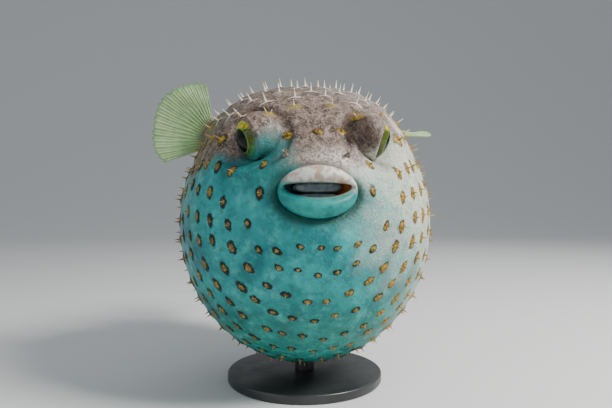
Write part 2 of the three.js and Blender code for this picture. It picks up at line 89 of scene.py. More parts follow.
# Divisions of the meshes. The face's rings begin at a share of the way from the lips to the tail
# and stand partly evenly and partly further apart towards the tail.
AROUND = 350
FACE_RINGS, LIP_RINGS, CAVITY_RINGS = 224, 30, 14
FACE_START, FACE_EVEN, FACE_GROWING = 0.007, 0.72, 0.28
EYE_RINGS, EYE_AROUND = 60, 96
TOOTH_RINGS, TOOTH_AROUND = 42, 28
FIN_STEPS_A_RAY, FIN_ROWS = 10, 56
SPINE_SIDES, SPINE_LEVELS, LEVEL_POWER = 8, 6, 0.8
NOSTRIL_AROUND, STAND_AROUND, EDGE_STEPS = 20, 160, 9

# Spines on the face, as (polar angle, turn) in degrees, each with its mirror image.
FACE_SPINES = ((22.5, 57), (19, 86), (27, 22), (23.5, 0), (41, 26), (41.5, 10),
               (17, 180), (18.3, 159), (21.5, 141), (35.5, 27), (50, 36))
# The other rows go round the mouth. BELLY_CROWD is how far they close up under the belly.
FIRST_ROW, ROW_STEP, ROWS, SPINE_SPACING, BELLY_CROWD = 25.5 * DEG, 8.0 * DEG, 18, 14.5, 0.22
SPINE = dict(length=5.4, front=2.9, back=6.6, face=2.8, foot=0.95, tip=0.1, taper=1.15, root=1.2,
             root_cap=0.3, tip_cap=0.25, tip_back=0.12, lean=30 * DEG, front_lean=9 * DEG,
             sweep=1.4, flare=0.3, flare_reach=0.1, flare_side=1.6, flare_front=0.9,
             turret_lift=0.2)
# Pale stars on the top spines' roots are painted highlights.
STAR_HIGHLIGHTS = dict(above=63, behind=44 * DEG)  # spines this high and this far back stand in pale stars
# Bare skin: the snout's and forehead's polar angles, each with the least height on the face's
# circle that counts as its top, and how near the rod, eyes and fins a spine may stand.
BARE = dict(snout=28 * DEG, snout_from=-0.2, forehead=45 * DEG, forehead_from=0.8, rod=11, eye=17,
            fin=12, fin_length=22)
PLACE_SCATTER, PLACE_SEED = 0.012, 7
DISC, UNWRAP_REACH = 0.0014, 0.47      # each spine's disc on the UV map, and how far the map spreads
MOUND = dict(high=1.0, across=3.0, along=1.9)  # of skin, under each spine


# ------------------------------------------------------------------ helpers

def mix(a, b, t):
    """a where t is 0, b where it is 1, and in proportion between."""
    return a + (b - a) * t


def smooth(start, end, t):
    """0 at start and 1 at end, with an even curve between; start may be the larger."""
    u = np.clip((t - start) / (end - start), 0, 1)
    return u * u * (3 - 2 * u)


def bell(distance, reach):
    """1 at no distance, falling off as a bell curve."""
    return np.exp(-(distance / reach) ** 2)


def unit(v):
    """Vectors of length 1 in the same directions."""
    return v / np.linalg.norm(v, axis=-1, keepdims=True)


def across_x(place, side):
    """A place given on the fish's left, or its mirror image on the right."""
    return np.array(place, float) * (side, 1, 1)


def stack(*parts):
    """Arrays side by side as the last axis of one, after they are spread to one shape."""
    return np.stack(np.broadcast_arrays(*parts), -1)


def ripples(points, waves, seed):
    """A soft random field of about -1 to 1: the sum of nine plane waves near the given length,
    over the root of their number."""
    rng = np.random.default_rng(seed)
    ways = unit(rng.normal(size=(9, 3)))
    phases = rng.uniform(0, 2 * np.pi, 9)
    lengths = waves * rng.uniform(0.7, 1.4, 9)
    total = 0
    for way, phase, length in zip(ways, phases, lengths):
        total = total + np.sin(points @ way * (2 * np.pi / length) + phase)
    return total / 3


# ------------------------------------------------------------------ meshes

def piece_mesh(name, points, faces, fields=()):
    """A smooth mesh piece from points (mm, from the ball's middle) and faces: a list of arrays, each
    of faces with equally many sides. fields holds (name, domain, values) of vectors that the
    piece's material reads."""
    mesh = bpy.data.meshes.new(name)
    corners = np.concatenate([f.ravel() for f in faces]).astype(np.int32)
    sizes = np.concatenate([np.full(len(f), f.shape[1]) for f in faces]).astype(np.int32)
    starts = np.concatenate([[0], np.cumsum(sizes)[:-1]]).astype(np.int32)
    places = (np.asarray(points, float) + (0, 0, BALL_Z)) * MM
    mesh.vertices.add(len(places))
    mesh.vertices.foreach_set("co", places.astype(np.float32).ravel())
    mesh.loops.add(len(corners))
    mesh.loops.foreach_set("vertex_index", corners)
    mesh.polygons.add(len(sizes))
    mesh.polygons.foreach_set("loop_start", starts)
    mesh.polygons.foreach_set("loop_total", sizes)
    mesh.polygons.foreach_set("use_smooth", np.full(len(sizes), True))
    mesh.update(calc_edges=True)
    mesh.validate()
    for field, domain, values in fields:
        layer = mesh.attributes.new(field, "FLOAT_VECTOR", domain)
        layer.data.foreach_set("vector", np.asarray(values, np.float32).ravel())
    piece = bpy.data.objects.new(name, mesh)
    bpy.context.scene.collection.objects.link(piece)
    return piece


def ring_faces(rings, around):
    """Quads that join closed rings of equally many points, in order."""
    a = np.arange(rings - 1)[:, None] * around + np.arange(around)[None]
    b = np.arange(rings - 1)[:, None] * around + (np.arange(around)[None] + 1) % around
    return stack(a, b, b + around, a + around).reshape(-1, 4)


def fan_faces(ring_start, around, tip, last):
    """Triangles that close a ring with one point, the last ring or the first."""
    a = ring_start + np.arange(around)
    b = ring_start + (np.arange(around) + 1) % around
    return stack(a, b, tip) if last else stack(b, a, tip)


def closed_faces(rings, around):
    """Faces of closed rings joined in order. The two points after theirs close the ends."""
    tip = rings * around
    return [ring_faces(rings, around), fan_faces(0, around, tip, False),
            fan_faces(tip - around, around, tip + 1, True)]


def closed_rings(rings, first_tip, last_tip):
    """Points and faces of closed rings joined in order, with a point closing each end."""
    points = np.concatenate([rings.reshape(-1, 3), [first_tip, last_tip]])
    return points, closed_faces(*rings.shape[:2])


def turned(profile, centre, axis, around):
    """A surface of revolution: profile rows are (distance from the axis, height along it), from
    the bottom pole to the top pole, both closed with a point. Also gives each point's own place
    in the axis's frame: two sideways parts and the height."""
    axis = unit(np.array(axis, float))
    side = unit(np.cross((0, 0, 1), axis)) if abs(axis[2]) < 0.99 else np.array((1.0, 0, 0))
    up = np.cross(axis, side)
    turn = np.arange(around) / around * 2 * np.pi
    profile = np.array(profile, float)
    rings = stack(profile[1:-1, :1] * np.cos(turn), profile[1:-1, :1] * np.sin(turn),
                  profile[1:-1, 1:])
    own, faces = closed_rings(rings, (0, 0, profile[0, 1]), (0, 0, profile[-1, 1]))
    points = np.array(centre, float) + own[:, :1] * side + own[:, 1:2] * up + own[:, 2:] * axis
    return points, faces, own


# ------------------------------------------------------------------ the ball of the body

def direction(polar, turn):
    """Unit vectors at a polar angle from the mouth and a turn round it: 0 is up and a quarter
    turn is the fish's left. The poles are tilted up, the mouth's by one angle and the tail's by
    another."""
    tilt = mix(-MOUTH_LIFT, TAIL_LIFT, (1 - np.cos(polar)) / 2)
    x = np.sin(polar) * np.sin(turn)
    y = -np.cos(polar)
    z = np.sin(polar) * np.cos(turn)
    return stack(x, y * np.cos(tilt) - z * np.sin(tilt), y * np.sin(tilt) + z * np.cos(tilt))


def reach(ray):
    """How far the skin is from the ball's middle along each ray: an oval that is squarer and
    narrower towards the top, with the muzzle and shoulders raised and a hollow under each eye."""
    x, y, z = ray[..., 0], ray[..., 1], ray[..., 2]
    power = 2 + SQUARE_TOP * smooth(0, 0.8, z)
    wide = HALF_WIDTH * (1 - NARROW_TOP * smooth(NARROW_FROM, NARROW_TO, z))
    tall = np.where(z > 0, HALF_TOP, HALF_BOTTOM)
    deep = np.where(y < 0, HALF_FRONT, HALF_BACK)
    section = (np.abs(x) / wide) ** power + (np.abs(z) / tall) ** power
    r = 1 / np.hypot(section ** (1 / power), y / deep)
    mouth = direction(np.array(0.0), np.array(0.0))
    r = r + MUZZLE * bell(np.arccos(np.clip(ray @ mouth, -1, 1)) * r, MUZZLE_REACH)
    for side, _ in SIDES:
        away = np.linalg.norm(ray * r[..., None] - across_x(SHOULDER, side), axis=-1)
        r = r + SHOULDER_RISE * bell(away, SHOULDER_REACH)
        away = np.linalg.norm(ray * r[..., None] - across_x(HOLLOW, side), axis=-1)
        r = r - HOLLOW_DEPTH * bell(away, HOLLOW_REACH)
    return r - COAT_DEPTH


def on_ball(ray):
    """Points of the skin along unit rays from the ball's middle."""
    return ray * reach(ray)[..., None]


def eye_axis(side):
    """The way an eye looks: outwards, forwards and a little down."""
    return np.array((side * np.sin(EYE_OUT[side]) * np.cos(EYE_DOWN),
                     -np.cos(EYE_OUT[side]) * np.cos(EYE_DOWN), -np.sin(EYE_DOWN)))


def eyeball_centre(side):
    """The eyeball's middle, which stands a little proud of its turret's."""
    return across_x(EYE_CENTRE, side) + eye_axis(side) * EYE_PROUD


def drawn_to_eyes(ray, share):
    """Rays moved towards the nearer eye by a share of their angle from it, so that the grid is
    finest there."""
    for side, _ in SIDES:
        aim = unit(eyeball_centre(side) + EYE_GRID["ahead"] * eye_axis(side))
        angle = np.arccos(np.clip(ray @ aim, -1, 1))
        nearer = angle * (1 - EYE_GRID["pull"] * share * bell(angle, EYE_GRID["reach"]))
        sideways = unit(ray - (ray @ aim)[..., None] * aim + 1e-12)
        ray = sideways * np.sin(nearer)[..., None] + aim * np.cos(nearer)[..., None]
    return ray


def skin_rings(s, turn):
    """The skin from the lips' edge (s = 0) over the ball to the end of the tail stalk (s = 1). A
    point's ray turns from the mouth's way to the tail's as s grows, and the last stretch merges
    into an oval stalk that narrows as a power of its length."""
    t = np.clip((s - TAIL["start"]) / (1 - TAIL["start"]), 0, 1)
    wide = mix(LIP["half_wide"] / HALF_FRONT, np.pi, s) * np.sin(turn)
    tall = mix(LIP["half_tall"] / HALF_FRONT, np.pi, s) * np.cos(turn)
    ray = direction(np.hypot(wide, tall), np.arctan2(wide, tall))
    ray = drawn_to_eyes(ray, smooth(0, 0.05, s) * (1 - smooth(0.4, 0.6, s)))
    ball = on_ball(ray)
    flare = (1 - t) ** TAIL["taper"]
    half_wide = TAIL["end_wide"] + TAIL["flare_wide"] * flare - COAT_DEPTH
    half_tall = TAIL["end_tall"] + TAIL["flare_tall"] * flare - COAT_DEPTH
    stalk = stack(half_wide * np.sin(turn), mix(TAIL["from_y"], TAIL["to_y"], t),
                  mix(TAIL["from_z"], TAIL["to_z"], t) + half_tall * np.cos(turn))
    return mix(ball, stalk, smooth(0, TAIL["merge"], t)[..., None])


def skin_frame(ray):
    """The ball's surface where a ray leaves it: the foot, the outward normal and two unit vectors
    along the surface, worked out from points a small step away on each side."""
    step = 0.02
    east = unit(np.cross((0, 0, 1), ray))
    north = np.cross(ray, east)
    normal = unit(np.cross(on_ball(unit(ray + step * east)) - on_ball(unit(ray - step * east)),
                           on_ball(unit(ray + step * north)) - on_ball(unit(ray - step * north))))
    normal = normal * np.sign(normal @ ray)
    first = unit(east - (east @ normal) * normal)
    return on_ball(ray), normal, first, np.cross(normal, first)


def eye_sculpted(points, side):
    """Skin shaped round one eye, and the depth of the crease behind its turret. Near the eye a
    point's distance and bearing from the eye's foot on the ball become an angle and bearing round
    the eyeball: under the ball, up over the lid's rim and down the turret, which runs back into
    the ball further out on the tall inner side."""
    axis = eye_axis(side)
    centre = eyeball_centre(side)
    ray = unit(across_x(EYE_CENTRE, side) + LID["foot"] * axis)
    foot, normal, e1, e2 = skin_frame(ray)
    a1, a2 = (e - (e @ axis) / (1 + normal @ axis) * (normal + axis) for e in (e1, e2))
    away = points - foot
    rho = np.linalg.norm(away, axis=-1)
    x, y = away @ e1, away @ e2
    flat = np.hypot(x, y) + 1e-9
    inner = unit((axis @ normal) * normal - axis)
    tall = (x * (inner @ e1) + y * (inner @ e2)) / flat
    past = (rho - LID["slow_past"] + np.hypot(rho - LID["slow_past"], 1)) / 2
    theta = (LID["pace"] * rho - LID["slowing"] * past) * DEG
    turret = -EYE_PROUD * np.cos(theta) + np.sqrt(TURRET ** 2 - (EYE_PROUD * np.sin(theta)) ** 2)
    rim = LID["rim_high"] * bell(theta - LID["rim"], LID["rim_wide"])
    under = 1 / np.hypot(np.sin(theta) / EYEBALL, np.cos(theta) / EYE_DOME) - LID["tuck"]
    distance = mix(under, turret, smooth(*LID["rise"], theta)) + rim
    bearing = (x / flat)[..., None] * a1 + (y / flat)[..., None] * a2
    shaped = (centre + (distance * np.cos(theta))[..., None] * axis
              + (distance * np.sin(theta))[..., None] * bearing)
    starts, ends = (mix(outer, inner, smooth(-1, 1, tall))
                    for outer, inner in zip(TURRET_END["outer"], TURRET_END["inner"]))
    shaped = mix(shaped, points, smooth(starts, ends, rho)[..., None])
    crease = bell(rho - CREASE["away"], CREASE["wide"]) * smooth(0.0, 0.7, tall)
    return shaped - CREASE["depth"] * crease[..., None] * normal, crease


def lip_rings(turn, bend):
    """The lips' skin: an oval path round the slit, carrying a plump oval section. bend runs round
    the section: half a turn is its inner end, a quarter its front and 0 its outer end."""
    up = np.cos(turn)
    slit_tall = np.where(up > 0, LIP["slit_top"], LIP["slit_bottom"])
    inner = stack(LIP["slit_wide"] * np.sin(turn), 0, LIP["slit_z"] + slit_tall * up)
    outer = stack(LIP["half_wide"] * np.sin(turn), 0, LIP["z"] + LIP["half_tall"] * up)
    middle = (inner + outer) / 2
    middle[..., 1] = LIP["y"] + LIP["corner_back"] * np.sin(turn) ** 2
    half = np.linalg.norm(outer - inner, axis=-1) / 2
    across = unit(outer - inner)
    deep = mix(LIP["corner_deep"], LIP["deep"], np.abs(up))
    points = middle + (half * np.cos(bend))[..., None] * across
    points[..., 1] -= deep * np.sin(bend)
    return points


def cavity_rings(turn, depth):
    """The mouth's lining: the slit's oval, drawn back and in towards the throat (depth 1), and
    bulging upwards and downwards on the way."""
    edge = lip_rings(turn, np.full_like(turn, CAVITY["rim_bend"]))
    throat = stack(CAVITY["throat_wide"] * np.sin(turn), CAVITY["throat_y"],
                   LIP["slit_z"] + CAVITY["throat_tall"] * np.cos(turn))
    bulge = np.sin(np.pi * np.clip(depth * CAVITY["bulge_rate"], 0, 1))
    points = mix(edge, throat, depth[..., None])
    points[..., 2] += bulge * CAVITY["bulge"] * np.cos(turn)
    return points


def body_rings():
    """All rings of the skin in order, from the throat to the end of the tail stalk, and each
    ring's own number: below 0 in the mouth, 0 to 1 over the lips, 1 to 2 over the rest. The last
    rings of the lips and the first of the face are averaged with their neighbours."""
    turn = np.arange(AROUND) / AROUND * 2 * np.pi
    u = np.linspace(0, 1, FACE_RINGS)[:, None]
    s = FACE_START + (1 - FACE_START) * (FACE_EVEN * u + FACE_GROWING * u * u)
    face = skin_rings(*np.broadcast_arrays(s, turn[None]))
    outer = mix(LIP_BEND["outer_low"], LIP_BEND["outer_high"], smooth(0.1, 0.9, np.cos(turn)))
    bends = mix(LIP_BEND["inner"], outer[None], np.linspace(0, 1, LIP_RINGS)[:, None]) * DEG
    lips = lip_rings(np.broadcast_to(turn[None], bends.shape), bends)
    depth = np.linspace(1, CAVITY["nearest"], CAVITY_RINGS)[:, None]
    depths, turns = np.broadcast_arrays(depth, turn[None])
    cavity = cavity_rings(turns, depths)
    rings = np.concatenate([cavity, lips, face])
    ring_place = np.concatenate([-depth[:, 0], np.linspace(0, 1, LIP_RINGS), 1 + s[:, 0]])
    start = CAVITY_RINGS + LIP_RINGS
    for _ in range(3):
        near = slice(start - 2, start + 5)
        rings[near] = (rings[start - 3:start + 4] + rings[start - 1:start + 6]) / 4 + rings[near] / 2
    return rings, ring_place


# ------------------------------------------------------------------ fins

# Each fin has a base line of half length foot along line (or up), and rays that fan in the plane of
# out and up from the first to the last angle in degrees. drop shortens the outer rays, lean makes
# one end longer, and cup bows the fin's face.
FINS = {
    "pectoral_fin_right": dict(
        base=(-62, -4, 57), out=(-0.96, 0.22, 0.16), up=(0.15, -0.05, 0.99), foot=6.5, first=-27,
        last=72, thick=1.3, cup=-4, length=42, drop=0.46, lean=-0.09, rays=19),
    "pectoral_fin_left": dict(
        base=(61, -3, 59), out=(0.66, 0.74, 0.14), up=(-0.74, 0.64, 0.2), line=(-0.05, 0.99, 0.1),
        foot=8, first=-22, last=22, thick=1.3, cup=2, length=41, drop=0.4, lean=0, rays=19),
    "dorsal_fin": dict(
        base=(0, 72, 49), out=(0, 0.66, 0.75), up=(0, -0.75, 0.66), foot=10, first=-26, last=34,
        thick=1.3, cup=0, length=38, drop=0.4, lean=0, rays=12),
    "anal_fin": dict(
        base=(0, 80, 0), out=(0, 0.82, -0.57), up=(0, 0.57, 0.82), foot=9, first=-34, last=24,
        thick=1.3, cup=0, length=37, drop=0.4, lean=0, rays=11),
    "caudal_fin": dict(
        base=(0, 112, 32.5), out=(0, 0.985, 0.17), up=(0, -0.17, 0.985), foot=7, first=-21, last=21,
        thick=1.6, cup=0, length=43, drop=0.34, lean=0, rays=9),
}
MEMBRANE = 0.14                        # half the thickness of the membrane between two rays


def fin_ridges(phase, u, w):
    """The plain cosine across the fin, one wave to a ray, and how high the rays stand, 0 to 1: a
    power of that cosine, which gives way to two waves to a ray where the rays fork, and fades at
    the rim and both edges."""
    ray = 0.5 + 0.5 * np.cos(2 * np.pi * phase)
    fork = 0.5 - 0.5 * np.cos(4 * np.pi * phase)
    ridge = mix(ray ** 2.2, np.maximum(fork ** 3, 0.35 * ray ** 2), smooth(0.45, 0.72, w))
    return ray, ridge * (1 - smooth(0.93, 1, w)) * (1 - 0.6 * smooth(0.94, 1, np.abs(u)))


def fin_thickness(fin, ridge, u, w):
    """Half the thickness: membrane and ridges, thicker at the fleshy foot and round at the rim."""
    fleshy = 1 - smooth(0.1, 0.3, w)
    half = mix(mix(MEMBRANE, fin["thick"] * 0.42, ridge) * mix(1, 0.5, w), fin["thick"], fleshy)
    rim = smooth(0, 0.012, 1 - np.abs(u) + 0 * w) * smooth(0, 0.02, 1 - w + 0 * u)
    return half * np.sqrt(mix(0.06, 1, rim))


def sheet_faces(columns, rows):
    """Quads of two equal grids of points, one turned round, and of the rim that joins them."""
    row = rows + 1
    other = (columns + 1) * row
    a = np.arange(columns)[:, None] * row + np.arange(rows)[None]
    quads = stack(a, a + 1, a + row + 1, a + row).reshape(-1, 4)
    rim = np.concatenate([np.arange(columns + 1) * row, columns * row + np.arange(1, rows + 1),
                          np.arange(columns - 1, -1, -1) * row + rows,
                          np.arange(rows - 1, 0, -1)])
    after = np.roll(rim, -1)
    return np.concatenate([quads, quads[:, ::-1] + other,
                           stack(rim, after, after + other, rim + other)])


def fin_piece(name, fin):
    """A fan of a fin as a thin closed sheet. Rays run from a short base line; each is as long as
    the rounded outline says. Rays stand out as ridges that fork towards the rim, the membrane
    between them is thin, dips in at the rim and ripples a little."""
    base = np.array(fin["base"], float)
    out, up = unit(np.array(fin["out"], float)), unit(np.array(fin["up"], float))
    line = unit(np.array(fin.get("line", fin["up"]), float))
    flat = unit(np.cross(out, up))
    columns = fin["rays"] * FIN_STEPS_A_RAY
    u = np.linspace(-1, 1, columns + 1)[:, None]
    w = np.linspace(0, 1, FIN_ROWS + 1)[None]
    angle = mix(fin["first"], fin["last"], (u + 1) / 2) * DEG
    phase = (u + 1) / 2 * (fin["rays"] - 1)
    ray, ridge = fin_ridges(phase, u, w)
    length = fin["length"] * np.sqrt(1 - fin["drop"] * u * u) * (1 + fin["lean"] * u)
    length = length * (1 - 0.028 * (1 - ray)) * (1 + 0.012 * np.sin(7 * u + 1))
    half = fin_thickness(fin, ridge, u, w)
    along = out * np.cos(angle)[..., None] + up * np.sin(angle)[..., None]
    bend = fin["cup"] * w * w * (1 - u * u / 2)
    bend = bend + 0.8 * np.sin(5.2 * u + 3 * w + 0.6) * smooth(0.2, 1, w)
    middle = base + line * (u * fin["foot"])[..., None] + along * (length * w)[..., None]
    points = [(middle + flat * (bend + face * half)[..., None]).reshape(-1, 3) for face in (1, -1)]
    place = stack(phase, w, ridge).reshape(-1, 3)
    piece = piece_mesh(name + "_looks", np.concatenate(points), [sheet_faces(columns, FIN_ROWS)],
                       [("fin_place", "POINT", np.concatenate([place, place]))])
    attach(piece, "root")
    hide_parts(name)
    return piece


# ------------------------------------------------------------------ spines

def face_spines():
    """Polar angle and turn of the face's own spines, with the mirror image of those that don't
    stand on the middle line."""
    mirrored = [(polar, -turn) for polar, turn in FACE_SPINES if turn % 180]
    return np.array([*FACE_SPINES, *mirrored]) * DEG


def spine_rows():
    """Polar angle and turn of every spine: the face's own, then rows round the mouth, each half a
    step out of line with the one before and closer together under the belly."""
    places = [face_spines()]
    for row in range(ROWS):
        polar = FIRST_ROW + row * ROW_STEP
        girth = 2 * np.pi * HALF_FRONT * np.sin(polar)
        count = 2 * round(girth / SPINE_SPACING / 2)
        turn = (np.arange(count) + (row % 2) / 2) / count * 2 * np.pi
        turn = turn - BELLY_CROWD * np.sin(turn) + np.pi
        places.append(stack(polar, turn))
    return np.concatenate(places)


def bare(places, points):
    """True where the fish has no spine: snout, eyes, round the fins and over the rod."""
    polar, up = places[:, 0], np.cos(places[:, 1])
    own = np.arange(len(places)) < len(face_spines())
    upper = (up > BARE["snout_from"]) & (polar < BARE["snout"])
    upper |= (up > BARE["forehead_from"]) & (polar < BARE["forehead"])
    hidden = upper & ~own
    hidden |= (points[:, 2] < 0) & (np.hypot(points[:, 0], points[:, 1]) < BARE["rod"])
    for side, _ in SIDES:
        eye = across_x(EYE_CENTRE, side)
        hidden |= (np.linalg.norm(points - eye, axis=-1) < BARE["eye"]) & ~own
    for fin in FINS.values():
        base, out = np.array(fin["base"], float), unit(np.array(fin["out"], float))
        along = np.clip((points - base) @ out, 0, BARE["fin_length"])
        hidden |= np.linalg.norm(points - base - along[:, None] * out, axis=-1) < BARE["fin"]
    return hidden


def spine_frames(places):
    """For each spine: its root on the ball or, where one stands there, on an eye's turret, and unit
    vectors outwards, back along the body and across."""
    polar, turn = places[:, 0], places[:, 1]
    step = DEG
    root = on_ball(direction(polar, turn))
    back = on_ball(direction(polar + step, turn)) - on_ball(direction(polar - step, turn))
    across = on_ball(direction(polar, turn + step)) - on_ball(direction(polar, turn - step))
    outward = unit(np.cross(back, across))
    outward = outward * np.sign((outward * root).sum(-1, keepdims=True))
    ray = unit(root)
    for side, _ in SIDES:
        eye = across_x(EYE_CENTRE, side)
        along = ray @ eye
        inside = along ** 2 - eye @ eye + (TURRET + SPINE["turret_lift"]) ** 2
        out = along + np.sqrt(np.maximum(inside, 0))
        on_turret = ((inside > 0) & (out > np.linalg.norm(root, axis=-1)))[:, None]
        root = np.where(on_turret, ray * out[:, None], root)
        outward = np.where(on_turret, unit(root - eye), outward)
    back = unit(back - (back * outward).sum(-1, keepdims=True) * outward)
    return root, outward, back, unit(np.cross(outward, back))


def spine_moods(places, root, rng):
    """What differs between spines: length, how dark the spot's ends are, how golden its middle
    is, its size, how far it is a pale star of roots instead, which is a painted highlight, and
    the spine's backward lean."""
    polar = places[:, 0]
    x, y, z = root.T
    # How far each spine is one of the back's, the face's, the front's and the chin's.
    on_back = smooth(20, 60, z) * smooth(34 * DEG, 50 * DEG, polar)
    on_face = 1 - smooth(24 * DEG, 34 * DEG, polar)
    front = 1 - smooth(58 * DEG, 90 * DEG, polar)
    front = np.maximum(front, 0.75 * smooth(-30, -60, z) * smooth(15, -20, y))
    under = bell(x / 30, 1) * smooth(20, -5, z) * front
    length = mix(mix(SPINE["length"], SPINE["front"], front), SPINE["back"], on_back)
    length = mix(length, SPINE["face"], on_face) * rng.uniform(0.88, 1.08, len(root))
    size = mix(1.0, 0.6, under) * mix(1, 0.85, on_face) * rng.uniform(0.9, 1.12, len(root))
    # Spots are darkest low on the fish's right, and most golden on its left.
    dark = mix(mix(1.0, 0.74, smooth(5, 45, z)), 0.56, smooth(-10, 60, x))
    dark = dark * mix(1, 0.9, under) * mix(1, 0.1, smooth(48, 68, z))
    dark = dark * rng.uniform(0.72, 1.06, len(root))
    gold = mix(0.75, 1.0, smooth(-30, 50, x)) * mix(1, 0.8, under) * mix(1, 0.35, smooth(55, 75, z))
    return dict(length=length, dark=dark, gold=gold, size=size,
                star=1.0 * (z > STAR_HIGHLIGHTS["above"]) * (polar > STAR_HIGHLIGHTS["behind"]),
                lean=mix(SPINE["lean"], SPINE["front_lean"], front * (1 - on_back)))


def unwrap_spines(piece, middles):
    """The UV map that the bake uses: every spine is a small disc round its own place, its foot the
    disc's rim and its tip the middle."""
    height = np.linspace(0, 1, SPINE_LEVELS)[:, None] ** LEVEL_POWER
    angle = np.arange(SPINE_SIDES) / SPINE_SIDES * 2 * np.pi
    disc = stack(np.cos(angle) * (1 - 0.9 * height), np.sin(angle) * (1 - 0.9 * height)) * DISC
    disc = np.concatenate([disc.reshape(-1, 2), [(DISC, 0), (0, 0)]])
    where = (middles[:, None] + disc[None]).reshape(-1, 2)
    layer = piece.data.uv_layers.new(name="OFBake")
    corner = np.empty(len(piece.data.loops), np.int32)
    piece.data.loops.foreach_get("vertex_index", corner)
    layer.data.foreach_set("uv", where[corner].astype(np.float32).ravel())


def spines_piece(name, chosen, root, outward, back, across, moods, unwrap):
    """Spines as one mesh. Each is a tapering spike that curves back, its foot drawn out sideways
    and forwards into the flat roots that hold it; levels of rings, closed at both ends."""
    root, outward, back, across = (v[chosen] for v in (root, outward, back, across))
    moods = {mood: values[chosen] for mood, values in moods.items()}
    length, lean = moods["length"][:, None, None], moods["lean"][:, None, None]
    height = (np.linspace(0, 1, SPINE_LEVELS) ** LEVEL_POWER)[None, :, None]
    angle = (np.arange(SPINE_SIDES) / SPINE_SIDES * 2 * np.pi)[None, None]
    radius = SPINE["tip"] + (SPINE["foot"] - SPINE["tip"]) * (1 - height) ** SPINE["taper"]
    flare = SPINE["flare"] * np.exp(-height / SPINE["flare_reach"])
    sideways = radius * (1 + SPINE["flare_side"] * flare) * np.cos(angle)
    lengthwise = radius * np.sin(angle) * (1 + SPINE["flare_front"] * flare * (np.sin(angle) < 0))
    rise = (length + SPINE["root"]) * height * np.cos(lean) - SPINE["root"]
    swept = length * np.sin(lean) * height ** SPINE["sweep"]
    points = (root[:, None, None] + outward[:, None, None] * rise[..., None]
              + back[:, None, None] * (swept + lengthwise)[..., None]
              + across[:, None, None] * sideways[..., None])
    count = len(root)
    ends = np.stack([root - outward * (SPINE["root"] + SPINE["root_cap"]),
                     points[:, -1].mean(1) + outward * SPINE["tip_cap"] + back * SPINE["tip_back"]], 1)
    points = np.concatenate([points.reshape(count, -1, 3), ends], 1)
    starts = np.arange(count)[:, None, None] * points.shape[1]
    faces = [(part[None, :, ::-1] + starts).reshape(-1, part.shape[1])
             for part in closed_faces(SPINE_LEVELS, SPINE_SIDES)]
    height = np.broadcast_to(height, (count, SPINE_LEVELS, SPINE_SIDES)).reshape(count, -1)
    height = np.concatenate([height, np.tile((0.0, 1.0), (count, 1))], 1)
    place = stack(height, moods["dark"][:, None], moods["gold"][:, None]).reshape(-1, 3)
    piece = piece_mesh(name, points.reshape(-1, 3), faces, [("spine_place", "POINT", place)])
    unwrap_spines(piece, unwrap[chosen])
    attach(piece, "root")
    return piece


# ------------------------------------------------------------------ materials

def shade(red, green, blue):
    """A colour given from 0 to 255 as seen on a screen, in the linear values that nodes take."""
    values = np.array((red, green, blue)) / 255
    linear = np.where(values > 0.04045, ((values + 0.055) / 1.055) ** 2.4, values / 12.92)
    return (*map(float, linear), 1.0)


